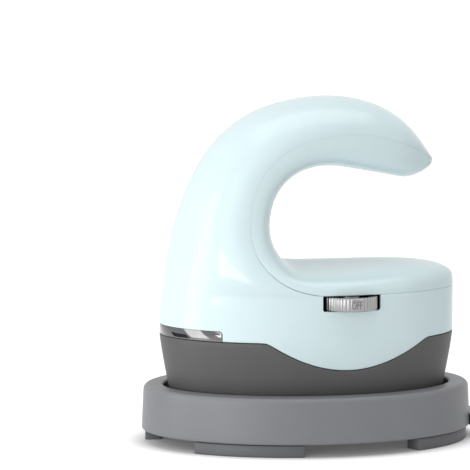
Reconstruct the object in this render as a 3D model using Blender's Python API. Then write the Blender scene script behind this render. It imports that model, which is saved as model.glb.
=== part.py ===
"""A mini heat press standing in its insulated tray.

Everything is in metres, +Z up. The press stands on the tray with its heating plate down.
+X runs along the plate towards the nose, under the open end of the C-shaped handle.
-Y is the face with the temperature thumbwheel. The origin is the centre of the whole
object's footprint, on the floor.
"""

import math

import bmesh
import bpy
import numpy as np
from mathutils import Matrix, Vector

MM = 0.001

# Fits shared by every piece
GAP = 0.3 * MM
SCREW_PLAY = 0.3 * MM
OVERRUN = 4.0 * MM

# Heating plate: an ellipse. Every other outline keeps the same distance to it all round, and
# every place along or across the press is a share of the plate's half length or half width.
PLATE_HALF_LENGTH = 52.5 * MM
PLATE_HALF_WIDTH = 30.0 * MM
PLATE_LIP_DEPTH = 1.5 * MM
PLATE_EDGE_ROUND = 0.7 * MM
PLATE_STEP = 2.4 * MM
PLATE_THICKNESS = 6.0 * MM
BOSS_RADIUS = 4.5 * MM
BOSS_HEIGHT = 9.2 * MM
BOSS_HOLE_DEPTH = 8.4 * MM
BOSS_SHARES = (0.7048, 0.4167)

# Tray
FOOT_HEIGHT = 5.0 * MM
TRAY_PLAY = 4.4 * MM
TRAY_RIM_WIDTH = 8.5 * MM
TRAY_FLARE = 0.8 * MM
TRAY_FLOOR_RISE = 4.7 * MM
TRAY_FLOOR_THICKNESS = 2.5 * MM
TRAY_DEPTH = 13.1 * MM
TRAY_RIM_ROUND = 2.2 * MM
TRAY_INNER_ROUND = 1.0 * MM
TRAY_FOOT_ROUND = 0.8 * MM
TRAY_WALL = 2.2 * MM
TAB_REACH = 3.0 * MM
TAB_HALF_WIDTH = 10.0 * MM
TAB_HEIGHT = 4.5 * MM
TAB_ROUND = 1.2 * MM
LINER_THICKNESS = 1.2 * MM
LINER_PLAY = 0.8 * MM

# Feet: four curved blocks pressed into the hollow rim, laid out point by point opposite
FOOT_INSET = 1.3 * MM
FOOT_INNER_INSET = 0.7 * MM
FOOT_EDGE = 0.4 * MM
TONGUE_HEIGHT = 4.0 * MM
TONGUE_PLAY = 0.4 * MM
FOOT_TURN_SHARES = {
    "foot_front_left": (0.6150, 0.7320),
    "foot_nose_end": (0.8542, 0.9861),
    "foot_back_right": (0.1150, 0.2320),
    "foot_rear_end": (0.3542, 0.4861),
}

# Housing
BODY_OVERHANG = 5.8 * MM
BODY_TAPER = 5.3 * MM
TAPER_POWER = 1.2
SHELL_WALL = 2.0 * MM
SHELL_HEIGHT = 18.2 * MM
REAR_LEAN = 1.2 * MM
REAR_LEAN_POWER = 2.0
HANDLE_RISE = 74.1 * MM
DECK_RISE = 10.1 * MM
DECK_SAG = 1.7 * MM
DECK_NOSE_POWER = 4.0
DECK_ROUND_POWER = 3.0
ARM_ROUND_POWER = 3.3
ARM_BLEND_SHARE = 0.25
OUTER_ROUND_POWER = 2.0
SHOULDER_ROUND_POWER = 1.88
SHOULDER_END_SHARE = 0.3
VALLEY_SHIFT = 3.0 * MM

# The joint between shell and skirt dips in one shallow wave on each long side
WAVE_DEPTH = 11.0 * MM
WAVE_FLOOR_MARGIN = 1.6 * MM
WAVE_CENTRE_SHARE = 0.219
WAVE_HALF_SPAN_SHARE = 0.6095
WAVE_CORNER_SHARE = 0.06

# Skirt, the dark lower housing
SKIRT_WALL = 2.2 * MM
LIP_HEIGHT = 2.5 * MM
LIP_WALL = 1.3 * MM
SHIELD_THICKNESS = 0.9 * MM
SHIELD_INSET = 3.5 * MM
FLOOR_THICKNESS = 2.2 * MM
CABLE_SLOT_SHARE = 0.781
CABLE_SLOT_LENGTH = 10.0 * MM
CABLE_SLOT_MARGIN = 0.7 * MM
SENSOR_HOLE_RADIUS = 5.0 * MM
SENSOR_SHARE = 0.1524

# Posts under the deck, and the screws
POST_RADIUS = 3.5 * MM
POST_HOLE_DEPTH = 9.5 * MM
FRONT_POST_SHARE = 0.7619
REAR_POST_SHARE = -0.1048
SCREW_RADIUS = 1.5 * MM
SCREW_HEAD_RADIUS = 2.75 * MM
SCREW_HEAD_HEIGHT = 2.2 * MM
SCREW_DOME_SHARE = 1 / 3
PLATE_SCREW_LENGTH = 11.0 * MM
HOUSING_SCREW_LENGTH = 10.0 * MM
HEAD_CLEARANCE_RADIUS = 3.8 * MM
BOARD_SCREW_RADIUS = 0.9 * MM
BOARD_SCREW_HEAD_RADIUS = 1.8 * MM
BOARD_SCREW_HEAD_HEIGHT = 1.5 * MM
BOARD_SCREW_LENGTH = 6.0 * MM

# Thumbwheel and its switch
WHEEL_SHARE = 0.22667
WHEEL_RADIUS = 10.7 * MM
WHEEL_SETBACK = 6.3 * MM
WHEEL_PLAY = 0.3 * MM
WHEEL_HEADROOM = 0.6 * MM
WHEEL_THICKNESS = 5.2 * MM
WHEEL_RIDGE_DEPTH = 0.25 * MM
WHEEL_RIDGE_COUNT = 40
WINDOW_SIDE_PLAY = 0.7 * MM
WINDOW_ROUND = 0.9 * MM
SHAFT_RADIUS = 2.0 * MM
SHAFT_PLAY = 0.3 * MM
SWITCH_HALF_LENGTH = 5.0 * MM
SWITCH_FRONT_REACH = 2.4 * MM
SWITCH_BACK_REACH = 11.5 * MM
SWITCH_HEIGHT = 8.2 * MM
SWITCH_HEADROOM = 1.0 * MM
SWITCH_BORE_DEPTH = 5.5 * MM

# Control board and what stands on it
BOARD_THICKNESS = 1.6 * MM
BOARD_LEFT_SHARE = -0.019
BOARD_RIGHT_SHARE = 0.5905
BOARD_FRONT_SHARE = -1.0
BOARD_BACK_SHARE = 0.3333
BOARD_CORNER = 7.0 * MM
BOARD_POST_RADIUS = 2.6 * MM
BOARD_POST_HOLE_DEPTH = 5.0 * MM
BOARD_POST_SHARES = ((0.0571, -0.8), (0.4762, -0.7333), (0.0571, 0.2), (0.5143, 0.2))
PART_MARGIN = 3.5 * MM
PART_SPACING = 2.5 * MM
PART_ACROSS_SHARE = -0.2
RELAY_SIZE = (12.0 * MM, 10.0 * MM, 11.0 * MM)
CAPACITOR_SIZE = (9.0 * MM, 7.0 * MM, 9.0 * MM)

# Heater, sensor and fuse on the back of the plate
HEATER_RADIUS = 3.3 * MM
HEATER_SHARES = (0.5714, 0.4)
HEATER_OPENING_ANGLE = 25.0
HEATER_TAIL = 6.0 * MM
SENSOR_RADIUS = 4.0 * MM
SENSOR_HEIGHT = 3.0 * MM
FUSE_RADIUS = 2.0 * MM
FUSE_LENGTH = 11.0 * MM
FUSE_SHARE = -0.2286

# Terminal block, leads, cord bushing
BLOCK_SHARE = -0.5143
BLOCK_SIZE = (12.0 * MM, 16.0 * MM, 11.0 * MM)
LEAD_RADIUS = 1.2 * MM
SENSOR_LEAD_RADIUS = 0.9 * MM
MAINS_RADIUS = 2.5 * MM
BUSHING_ANGLE = 140.0
BUSHING_MARGIN = 1.3 * MM
BUSHING_RADIUS = 5.5 * MM
BUSHING_BORE = 3.2 * MM
BUSHING_PROUD = 0.8 * MM
BUSHING_LENGTH = 10.0 * MM
BUSHING_FLANGE_RADIUS = 7.2 * MM
BUSHING_FLANGE = 1.6 * MM
BUSHING_FLANGE_PLAY = 1.3 * MM

# Status light in the nose
LIGHT_RISE = 4.5 * MM
LIGHT_WIDTH = 5.0 * MM
LIGHT_HEIGHT = 1.1 * MM
LIGHT_INSET = 0.1 * MM
LENS_DEPTH = 2.7 * MM
LED_RADIUS = 1.5 * MM
LED_LENGTH = 5.0 * MM

# Bright trim band let into the shell round the rear end
TRIM_HEIGHT = 4.2 * MM
TRIM_END_SHARE = 0.7048
TRIM_INSET = 0.1 * MM
TRIM_CORNER = 1.4 * MM
TRIM_OVERSWEEP_ANGLE = 8.0

# Outlines that follow from the plate's
BODY_HALF_LENGTH = PLATE_HALF_LENGTH + BODY_OVERHANG
END_TO_SIDE = PLATE_HALF_LENGTH - PLATE_HALF_WIDTH
BODY_HALF_WIDTH = BODY_HALF_LENGTH - END_TO_SIDE
TRAY_OPENING_HALF_LENGTH = PLATE_HALF_LENGTH + TRAY_PLAY
TRAY_HALF_LENGTH = TRAY_OPENING_HALF_LENGTH + TRAY_RIM_WIDTH
OBJECT_CENTRE_X = TAB_REACH / 2

# Levels, from the floor up
TRAY_FLOOR_TOP = FOOT_HEIGHT + TRAY_FLOOR_RISE
TRAY_RIM_TOP = TRAY_FLOOR_TOP + TRAY_DEPTH
LINER_BOTTOM = TRAY_FLOOR_TOP + GAP
PLATE_BOTTOM = LINER_BOTTOM + LINER_THICKNESS + GAP
PLATE_LIP_TOP = PLATE_BOTTOM + PLATE_LIP_DEPTH
PLATE_TOP = PLATE_BOTTOM + PLATE_THICKNESS
BOSS_TOP = PLATE_TOP + BOSS_HEIGHT
SKIRT_BOTTOM = PLATE_LIP_TOP + GAP
SHIELD_BOTTOM = BOSS_TOP + GAP
SHIELD_TOP = SHIELD_BOTTOM + SHIELD_THICKNESS
FLOOR_BOTTOM = SHIELD_TOP + GAP
FLOOR_TOP = FLOOR_BOTTOM + FLOOR_THICKNESS
JOINT_LEVEL = FLOOR_TOP + WAVE_FLOOR_MARGIN + WAVE_DEPTH
SEAM_LEVEL = JOINT_LEVEL + SHELL_HEIGHT
WINDOW_HEIGHT = WHEEL_THICKNESS + WHEEL_PLAY + WHEEL_HEADROOM
WINDOW_BOTTOM = SEAM_LEVEL - WINDOW_HEIGHT
WHEEL_BOTTOM = WINDOW_BOTTOM + WHEEL_PLAY
WHEEL_TOP = WHEEL_BOTTOM + WHEEL_THICKNESS
SWITCH_TOP = WHEEL_BOTTOM - SWITCH_HEADROOM
PART_LEVEL = SWITCH_TOP - SWITCH_HEIGHT
BOARD_TOP = PART_LEVEL - GAP
BOARD_LEVEL = BOARD_TOP - BOARD_THICKNESS
LIGHT_LEVEL = JOINT_LEVEL + LIGHT_RISE
BUSHING_LEVEL = JOINT_LEVEL + TRIM_HEIGHT + BUSHING_RADIUS + BUSHING_MARGIN

# Places that follow from the plate's size
BOSS_X, BOSS_Y = PLATE_HALF_LENGTH * BOSS_SHARES[0], PLATE_HALF_WIDTH * BOSS_SHARES[1]
WAVE_CENTRE = PLATE_HALF_LENGTH * WAVE_CENTRE_SHARE
WAVE_HALF_SPAN = PLATE_HALF_LENGTH * WAVE_HALF_SPAN_SHARE
CABLE_SLOT_X = PLATE_HALF_LENGTH * CABLE_SLOT_SHARE
CABLE_SLOT_HALF_WIDTH = BOSS_Y - HEAD_CLEARANCE_RADIUS - CABLE_SLOT_MARGIN
SENSOR_X = PLATE_HALF_LENGTH * SENSOR_SHARE
FRONT_POST_X = PLATE_HALF_LENGTH * FRONT_POST_SHARE
REAR_POST_X = PLATE_HALF_LENGTH * REAR_POST_SHARE
WHEEL_X = PLATE_HALF_LENGTH * WHEEL_SHARE
WHEEL_Y = WHEEL_SETBACK - BODY_HALF_WIDTH
WINDOW_HALF_WIDTH = WHEEL_RADIUS + WINDOW_SIDE_PLAY
BOARD_LEFT = PLATE_HALF_LENGTH * BOARD_LEFT_SHARE
BOARD_RIGHT = PLATE_HALF_LENGTH * BOARD_RIGHT_SHARE
BOARD_FRONT = PLATE_HALF_WIDTH * BOARD_FRONT_SHARE
BOARD_BACK = PLATE_HALF_WIDTH * BOARD_BACK_SHARE
BOARD_POSTS = [
    (PLATE_HALF_LENGTH * along, PLATE_HALF_WIDTH * across) for along, across in BOARD_POST_SHARES
]
CAPACITOR_X = BOARD_LEFT + PART_MARGIN + CAPACITOR_SIZE[0] / 2
RELAY_X = CAPACITOR_X + CAPACITOR_SIZE[0] / 2 + PART_SPACING + RELAY_SIZE[0] / 2
PART_Y = PLATE_HALF_WIDTH * PART_ACROSS_SHARE
HEATER_HALF_LENGTH = PLATE_HALF_LENGTH * HEATER_SHARES[0]
HEATER_HALF_WIDTH = PLATE_HALF_WIDTH * HEATER_SHARES[1]
FUSE_X = PLATE_HALF_LENGTH * FUSE_SHARE
BLOCK_X = PLATE_HALF_LENGTH * BLOCK_SHARE
TRIM_END_X = PLATE_HALF_LENGTH * TRIM_END_SHARE

# Screws: shank radius, head radius, head height
SCREW_HEAD = (SCREW_RADIUS, SCREW_HEAD_RADIUS, SCREW_HEAD_HEIGHT)
BOARD_SCREW_HEAD = (BOARD_SCREW_RADIUS, BOARD_SCREW_HEAD_RADIUS, BOARD_SCREW_HEAD_HEIGHT)

# Facets
BODY_SIDES = 48
SHEET_SIDES = 36
HALF_SIDES = BODY_SIDES // 2
DECK_STEPS = 8
HANDLE_STEPS = 22
SCREW_SIDES = 12
POST_SIDES = 16
TRIM_STEPS = 20
RIM_ROUND_STEPS = 4
FOOT_LEAST_STEPS = 4
HEATER_TURN_STEPS = 16
HEATER_STEPS = 37
LEAD_STEPS = 14

# Stations up the stem and along the arm, from the deck to the tip. Along and across are
# shares of the body's half length and half width, up is a share of HANDLE_RISE above the
# deck seam: seam (along, up, across), outer spine (along, up), inner spine (along, up).
STATION_SHARES = (
    (-0.189, 0.036, 0.972, -0.965, 0.092, -0.111, 0.117),
    (-0.326, 0.109, 0.916, -0.942, 0.193, -0.197, 0.157),
    (-0.415, 0.206, 0.855, -0.911, 0.301, -0.259, 0.232),
    (-0.451, 0.335, 0.804, -0.867, 0.409, -0.286, 0.329),
    (-0.425, 0.497, 0.754, -0.781, 0.578, -0.260, 0.453),
    (-0.326, 0.645, 0.715, -0.626, 0.766, -0.175, 0.558),
    (-0.137, 0.757, 0.682, -0.343, 0.931, -0.032, 0.625),
    (0.120, 0.810, 0.642, 0.051, 1.003, 0.153, 0.640),
    (0.360, 0.810, 0.587, 0.377, 0.981, 0.352, 0.615),
    (0.575, 0.769, 0.497, 0.609, 0.895, 0.540, 0.588),
    (0.712, 0.726, 0.363, 0.746, 0.788, 0.670, 0.575),
    (0.798, 0.686, 0.223, 0.822, 0.706, 0.787, 0.607),
    (0.840, 0.666, 0.128, 0.848, 0.676, 0.838, 0.638),
    (0.852, 0.658, 0.000, 0.852, 0.658, 0.852, 0.658),
)
GUIDE_SHARE = 0.189
STATION_NUDGE_SHARE = 0.01
TIP_CAVITY_SHARE = 0.90
LEAST_CAVITY_SHARE = 0.2
CAVITY_END_POWER = 8

# The walls' rings, as shares of the way from their lower edge to their upper edge
LOOP_SHARES = (0.0, 0.35, 0.7, 1.0)
SKIRT_SHARES = (0.0, 0.33, 0.67, 1.0)

# Where the mains tail and the heater leads bend, as shares of the way between their ends
MAINS_BEND_SHARE = 1 / 3
SENSOR_BEND_SHARE = 0.5

PALE_BLUE = ((0.66, 0.79, 0.82), 0.25, 0.0)
DARK_GREY = ((0.10, 0.10, 0.10), 0.55, 0.0)
TRAY_GREY = ((0.28, 0.28, 0.29), 0.5, 0.0)
FOOT_GREY = ((0.14, 0.14, 0.145), 0.8, 0.0)
CREAM = ((0.9, 0.85, 0.8), 0.5, 0.0)
LINER_BLACK = ((0.03, 0.03, 0.03), 0.9, 0.0)
BARE_METAL = ((0.62, 0.62, 0.63), 0.35, 1.0)
BRIGHT_TRIM = ((0.25, 0.25, 0.26), 0.15, 1.0)
SILVER = ((0.7, 0.69, 0.69), 0.3, 1.0)
SCREW_STEEL = ((0.5, 0.5, 0.5), 0.35, 1.0)
BOARD_GREEN = ((0.03, 0.2, 0.09), 0.5, 0.0)
PART_BLACK = ((0.04, 0.04, 0.04), 0.5, 0.0)
PART_BLUE = ((0.05, 0.12, 0.4), 0.5, 0.0)
PART_CREAM = ((0.8, 0.75, 0.65), 0.6, 0.0)
LEAD_RED = ((0.5, 0.04, 0.03), 0.5, 0.0)
LEAD_WHITE = ((0.8, 0.8, 0.78), 0.5, 0.0)
LENS_CLEAR = ((0.85, 0.9, 0.9), 0.1, 0.0)

HOLDERS = {}


def clear_scene():
    for obj in list(bpy.data.objects):
        bpy.data.objects.remove(obj, do_unlink=True)


def make_holders():
    """One empty for the whole object, and one for each body that moves by itself."""
    places = {
        "base": (-OBJECT_CENTRE_X, 0, 0),
        "press": (-OBJECT_CENTRE_X, 0, 0),
        "wheel": (WHEEL_X - OBJECT_CENTRE_X, WHEEL_Y, 0),
    }
    for name, place in places.items():
        holder = bpy.data.objects.new("holder_" + name, None)
        bpy.context.scene.collection.objects.link(holder)
        holder.location = place
        HOLDERS[name] = holder


def material(name, look):
    found = bpy.data.materials.get(name)
    if found:
        return found
    colour, roughness, metallic = look
    made = bpy.data.materials.new(name)
    made.use_nodes = True
    shader = made.node_tree.nodes["Principled BSDF"]
    shader.inputs["Base Color"].default_value = (*colour, 1)
    shader.inputs["Roughness"].default_value = roughness
    shader.inputs["Metallic"].default_value = metallic
    return made


def make_object(name, bm, holder, look, smooth_angle=35.0):
    """Turns a bmesh into a named object under its holder."""
    bmesh.ops.recalc_face_normals(bm, faces=bm.faces)
    mesh = bpy.data.meshes.new(name)
    bm.to_mesh(mesh)
    bm.free()
    obj = bpy.data.objects.new(name, mesh)
    bpy.context.scene.collection.objects.link(obj)
    obj.data.materials.append(material(name + "_finish", look))
    mesh.shade_smooth()
    mesh.set_sharp_from_angle(angle=math.radians(smooth_angle))
    if holder:
        obj.parent = HOLDERS[holder]
    return obj


def make_cutter(name, bm, holder):
    obj = make_object(name, bm, holder, PART_BLACK)
    obj.hide_render = True
    obj.display_type = "WIRE"
    return obj


def combine(target, other, operation):
    step = target.modifiers.new(operation.lower() + "_" + other.name, "BOOLEAN")
    step.operation = operation
    step.object = other
    step.solver = "EXACT"


def half_width(half_length):
    """Outlines keep the plate's distance between half length and half width."""
    return half_length - END_TO_SIDE


def ellipse_point(half_length, angle, level):
    return Vector((half_length * math.cos(angle), half_width(half_length) * math.sin(angle), level))


def add_ring(bm, half_length, level, sides):
    """half_length and level may be numbers or functions of the angle."""
    ring = []
    for step in range(sides):
        angle = 2 * math.pi * step / sides
        height = level(angle) if callable(level) else level
        reach = half_length(height) if callable(half_length) else half_length
        ring.append(bm.verts.new(ellipse_point(reach, angle, height)))
    return ring


def join_rings(bm, first, second):
    count = len(first)
    for step in range(count):
        after = (step + 1) % count
        bm.faces.new((first[step], first[after], second[after], second[step]))


def ring_stack(name, profile, holder, look, sides=BODY_SIDES):
    """A solid of elliptical rings, one above or inside the other, closed by a flat face at each end."""
    bm = bmesh.new()
    rings = [add_ring(bm, half_length, level, sides) for half_length, level in profile]
    for first, second in zip(rings, rings[1:]):
        join_rings(bm, first, second)
    bm.faces.new(rings[0])
    bm.faces.new(rings[-1])
    return make_object(name, bm, holder, look)


def arc_band(name, profile, start, end, steps, holder, look):
    """A closed profile of (half length, level) points swept along part of the ellipse."""
    bm = bmesh.new()
    rows = []
    for step in range(steps + 1):
        angle = start + (end - start) * step / steps
        rows.append([bm.verts.new(ellipse_point(reach, angle, level)) for reach, level in profile])
    for first, second in zip(rows, rows[1:]):
        join_rings(bm, first, second)
    bm.faces.new(rows[0])
    bm.faces.new(rows[-1])
    return make_object(name, bm, holder, look)


def turned(name, profile, place, axis, holder, look, sides=SCREW_SIDES):
    """A round piece: (radius, height) points turned about an axis through place."""
    bm = bmesh.new()
    rings = []
    for radius, height in profile:
        ring = []
        for step in range(sides):
            angle = 2 * math.pi * step / sides
            ring.append(bm.verts.new((radius * math.cos(angle), radius * math.sin(angle), height)))
        rings.append(ring)
    for first, second in zip(rings, rings[1:]):
        join_rings(bm, first, second)
    bm.faces.new(rings[0])
    bm.faces.new(rings[-1])
    turn = Vector((0, 0, 1)).rotation_difference(Vector(axis)).to_matrix().to_4x4()
    bmesh.ops.transform(bm, matrix=Matrix.Translation(place) @ turn, verts=bm.verts)
    return make_object(name, bm, holder, look)


def cylinder_bm(radius, bottom, top, x, y, sides=POST_SIDES):
    bm = bmesh.new()
    place = Matrix.Translation((x, y, (bottom + top) / 2))
    depth = top - bottom
    bmesh.ops.create_cone(
        bm, cap_ends=True, segments=sides, radius1=radius, radius2=radius, depth=depth, matrix=place
    )
    return bm


def box_bm(low, high, round_size=0.0, round_axis=None):
    """A box between two corners, its edges along one axis rounded where asked."""
    bm = bmesh.new()
    middle = (Vector(low) + Vector(high)) / 2
    size = Vector(high) - Vector(low)
    bmesh.ops.create_cube(bm, size=1.0, matrix=Matrix.Translation(middle) @ Matrix.Diagonal((*size, 1)))
    if round_size:
        edges = [edge for edge in bm.edges if along_axis(edge, round_axis)]
        bmesh.ops.bevel(bm, geom=edges, offset=round_size, segments=3, profile=0.5, affect="EDGES")
    return bm


def along_axis(edge, axis):
    """True for an edge along the named axis, or for any edge where axis is None."""
    if axis is None:
        return True
    run = edge.verts[1].co - edge.verts[0].co
    lengths = dict(zip("xyz", (abs(value) for value in run)))
    return lengths[axis] == max(lengths.values())


def box(name, low, high, holder, look, round_size=0.0):
    return make_object(name, box_bm(low, high, round_size), holder, look)


def smooth_points(points, count):
    """A smooth curve through all the points, as a natural cubic spline read at even steps."""
    values = np.array([tuple(point) for point in points], float)
    read = np.linspace(0, len(values) - 1, count)
    return spline(values, read)


def spline(values, read):
    """Natural cubic spline through the rows of values, read at fractional row numbers."""
    rows = len(values)
    matrix = np.zeros((rows, rows))
    right = np.zeros(values.shape)
    matrix[0, :2] = 2, 1
    matrix[-1, -2:] = 1, 2
    right[0] = 3 * (values[1] - values[0])
    right[-1] = 3 * (values[-1] - values[-2])
    for row in range(1, rows - 1):
        matrix[row, row - 1 : row + 2] = 1, 4, 1
        right[row] = 3 * (values[row + 1] - values[row - 1])
    slopes = np.linalg.solve(matrix, right)
    low = np.minimum(read.astype(int), rows - 2)
    part = (read - low)[:, None]
    rest = 1 - part
    start = values[low] * (1 + 2 * part) * rest**2 + slopes[low] * part * rest**2
    end = values[low + 1] * (3 - 2 * part) * part**2 - slopes[low + 1] * rest * part**2
    return start + end


def tube(name, points, radius, count, holder, look, sides_level=1):
    """A round lead or element: straight at both ends, and a smooth curve through the points between."""
    curve = bpy.data.curves.new(name, "CURVE")
    curve.dimensions = "3D"
    curve.bevel_depth = radius
    curve.bevel_resolution = sides_level
    curve.use_fill_caps = True
    path = curve.splines.new("POLY")
    route = [points[0], *smooth_points(points[1:-1], count), points[-1]]
    path.points.add(len(route) - 1)
    for point, place in zip(path.points, route):
        point.co = (*place, 1)
    obj = bpy.data.objects.new(name, curve)
    bpy.context.scene.collection.objects.link(obj)
    curve.materials.append(material(name + "_finish", look))
    obj.parent = HOLDERS[holder]
    return obj


def body_half_length(level):
    """The housing's outside: upright above the joint, drawn in below it."""
    drop = max(JOINT_LEVEL - level, 0) / (JOINT_LEVEL - SKIRT_BOTTOM)
    return BODY_HALF_LENGTH - BODY_TAPER * drop**TAPER_POWER


def joint_level(angle):
    """Height of the joint between shell and skirt at an angle round the outline."""
    reach = (BODY_HALF_LENGTH * math.cos(angle) - WAVE_CENTRE) / WAVE_HALF_SPAN
    dip = 1 - reach**2
    rounded = (dip + math.sqrt(dip**2 + WAVE_CORNER_SHARE**2)) / 2
    return JOINT_LEVEL - WAVE_DEPTH * rounded


def deck_height(x, half_length, rise):
    """Height of the deck's crest above the seam: it sags at the root and rounds off at the nose."""
    share = min(max(x, 0) / half_length, 1)
    sag = DECK_SAG * (1 - share**2) ** 2
    return rise * (1 - share**DECK_NOSE_POWER) ** (1 / DECK_NOSE_POWER) - sag


# Stations of the handle. One row holds the seam's x, z and half width, then the x and z of
# the outer and of the inner spine.


def deck_station(turn, inset):
    """A station on the deck, from 0 at its root to a quarter turn at the nose."""
    reach = BODY_HALF_LENGTH - inset
    x = reach * math.sin(turn)
    across = half_width(reach) * math.cos(turn)
    crest_x = x + VALLEY_SHIFT * (1 - math.sin(turn))
    crest_z = SEAM_LEVEL + deck_height(x, reach, DECK_RISE - inset)
    return [x, SEAM_LEVEL, across, -BODY_HALF_LENGTH, SEAM_LEVEL, crest_x, crest_z]


def station_rows():
    guide = deck_station(math.asin(GUIDE_SHARE), 0)
    guide[4] = SEAM_LEVEL - (SEAM_LEVEL - JOINT_LEVEL) / 2
    root = deck_station(0, 0)
    root[3] = -(BODY_HALF_LENGTH - REAR_LEAN)
    rows = [guide, root]
    for seam_x, seam_z, across, outer_x, outer_z, inner_x, inner_z in STATION_SHARES:
        rows.append(
            [
                seam_x * BODY_HALF_LENGTH,
                SEAM_LEVEL + seam_z * HANDLE_RISE,
                across * BODY_HALF_WIDTH,
                outer_x * BODY_HALF_LENGTH,
                SEAM_LEVEL + outer_z * HANDLE_RISE,
                inner_x * BODY_HALF_LENGTH,
                SEAM_LEVEL + inner_z * HANDLE_RISE,
            ]
        )
    return np.array(rows)


STATION_ROWS = station_rows()
FIRST_STATION = 1.0
LAST_STATION = len(STATION_ROWS) - 1.0


def handle_stations(last, steps):
    """(row, seam normal) pairs from the deck's root to the fractional row number last."""
    read = np.linspace(FIRST_STATION, last, steps + 1)
    rows = spline(STATION_ROWS, read)
    ahead = spline(STATION_ROWS, np.minimum(read + STATION_NUDGE_SHARE, LAST_STATION))
    behind = spline(STATION_ROWS, read - STATION_NUDGE_SHARE)
    pairs = []
    for row, after, before in zip(rows, ahead, behind):
        run = Vector((after[0] - before[0], after[1] - before[1])).normalized()
        pairs.append((row, Vector((run.y, -run.x))))
    pairs[0] = (rows[0], Vector((0, -1)))
    return pairs


def section(row, normal, side, inset, fade, power, points):
    """Points of one station from the near seam over the spine to the far seam.

    side is 1 for the outer shell and -1 for the inner cover, inset is the wall taken off,
    fade draws the section in to nothing at a closed end, and power shapes its roundness.
    """
    seam = Vector((row[0], 0, row[1])) - Vector((normal.x, 0, normal.y)) * side * GAP / 2
    spine = Vector((row[3], 0, row[4])) if side > 0 else Vector((row[5], 0, row[6]))
    depth = spine - seam
    length = depth.length
    if length > 0:
        depth = depth * inset_size(length, inset) / length * fade
    across = inset_size(row[2], inset) * fade
    places = []
    for step in range(points + 1):
        angle = math.pi * (step / points - 0.5)
        forward = math.cos(angle) ** (2 / power) if 0 < step < points else 0.0
        sideways = math.copysign(abs(math.sin(angle)) ** (2 / power), angle)
        places.append(seam + depth * forward + Vector((0, across * sideways, 0)))
    return places


def inset_size(size, inset):
    """A size with a wall taken off. A narrow end keeps a least share of it."""
    return max(size - inset, size * LEAST_CAVITY_SHARE) if inset else size


def end_fade(share):
    """Rounds a wall's inside off at the tip: 1 along the handle, falling to 0 at the end."""
    return math.sqrt(max(1 - share**CAVITY_END_POWER, 0))


def sheet_solid(name, outer, inner, faces, boundary, holder, look):
    """A thick skin: the same faces outside and inside, joined along the boundary loops."""
    bm = bmesh.new()
    outside = {key: bm.verts.new(place) for key, place in outer.items()}
    inside = {key: bm.verts.new(place) for key, place in inner.items()}
    for keys in faces:
        bm.faces.new([outside[key] for key in keys])
        bm.faces.new([inside[key] for key in reversed(keys)])
    for loop in boundary:
        for first, second in zip(loop, loop[1:] + loop[:1]):
            bm.faces.new((outside[first], outside[second], inside[second], inside[first]))
    return make_object(name, bm, holder, look)


def grid_faces(rows):
    """Faces between rows of keys. A row of one key is a closed end."""
    faces = []
    for first, second in zip(rows, rows[1:]):
        count = max(len(first), len(second)) - 1
        for step in range(count):
            a = first[step if len(first) > 1 else 0]
            b = first[step + 1 if len(first) > 1 else 0]
            c = second[step + 1 if len(second) > 1 else 0]
            d = second[step if len(second) > 1 else 0]
            corners = (a, b, c, d)
            faces.append([key for index, key in enumerate(corners) if key not in corners[:index]])
    return faces


def loop_point(turn_step, level, inset, rear_half_length):
    """A point of a full loop round the body. Steps 0 to HALF_SIDES run round the rear half."""
    angle = math.pi * (turn_step / HALF_SIDES - 0.5)
    reach = body_half_length(level) - inset
    along = reach
    if turn_step <= HALF_SIDES:
        along = min(reach, rear_half_length - inset)
    return Vector((-along * math.cos(angle), half_width(reach) * math.sin(angle), level))


def shoulder_power(share):
    """The outer sections start as the body's ellipse and draw in a little round the shoulder."""
    bump = math.sin(math.pi * min(share / SHOULDER_END_SHARE, 1))
    return OUTER_ROUND_POWER + (SHOULDER_ROUND_POWER - OUTER_ROUND_POWER) * bump


def shell_skin(inset, last_station):
    """Places of the outer shell's skin by key: full loops up to the seam, then stations to the tip."""
    places = {}
    seam_level = SEAM_LEVEL - GAP / 2
    for loop, share in enumerate(LOOP_SHARES):
        for step in range(2 * HALF_SIDES):
            angle = math.pi * (step / HALF_SIDES + 0.5)
            low = joint_level(angle) + GAP / 2
            level = low + (seam_level - low) * share
            lean = REAR_LEAN * share**REAR_LEAN_POWER
            places["loop", loop, step] = loop_point(step, level, inset, BODY_HALF_LENGTH - lean)
    stations = handle_stations(last_station, HANDLE_STEPS)
    for number, (row, normal) in enumerate(stations):
        if number == 0:
            continue
        share = number / HANDLE_STEPS
        fade = end_fade(share) if inset else 1
        points = section(row, normal, 1, inset, fade, shoulder_power(share), HALF_SIDES)
        if number == HANDLE_STEPS:
            places["tip", 0] = (points[0] + points[-1]) / 2
            continue
        for step, place in enumerate(points):
            places["station", number, step] = place
    return places


def make_outer_shell():
    top = len(LOOP_SHARES) - 1
    loops = []
    for loop in range(top + 1):
        keys = [("loop", loop, step) for step in range(2 * HALF_SIDES)]
        loops.append(keys + keys[:1])
    rows = [loops[top][: HALF_SIDES + 1]]
    for number in range(1, HANDLE_STEPS):
        rows.append([("station", number, step) for step in range(HALF_SIDES + 1)])
    rows.append([("tip", 0)])
    faces = grid_faces(loops) + grid_faces(rows)
    near = [row[0] for row in rows[1:-1]]
    far = [row[-1] for row in rows[1:-1]]
    seam = loops[top][HALF_SIDES:] + near + [("tip", 0)] + far[::-1]
    lower = loops[0][:-1]
    outer = shell_skin(0, LAST_STATION)
    inner = shell_skin(SHELL_WALL, FIRST_STATION + (LAST_STATION - FIRST_STATION) * TIP_CAVITY_SHARE)
    shell = sheet_solid("outer_shell", outer, inner, faces, [lower, seam], "press", PALE_BLUE)
    cut_window(shell)
    cut_trim_recess(shell)
    cut_bushing_hole(shell)
    cut_light_slot(shell)
    return shell


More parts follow.
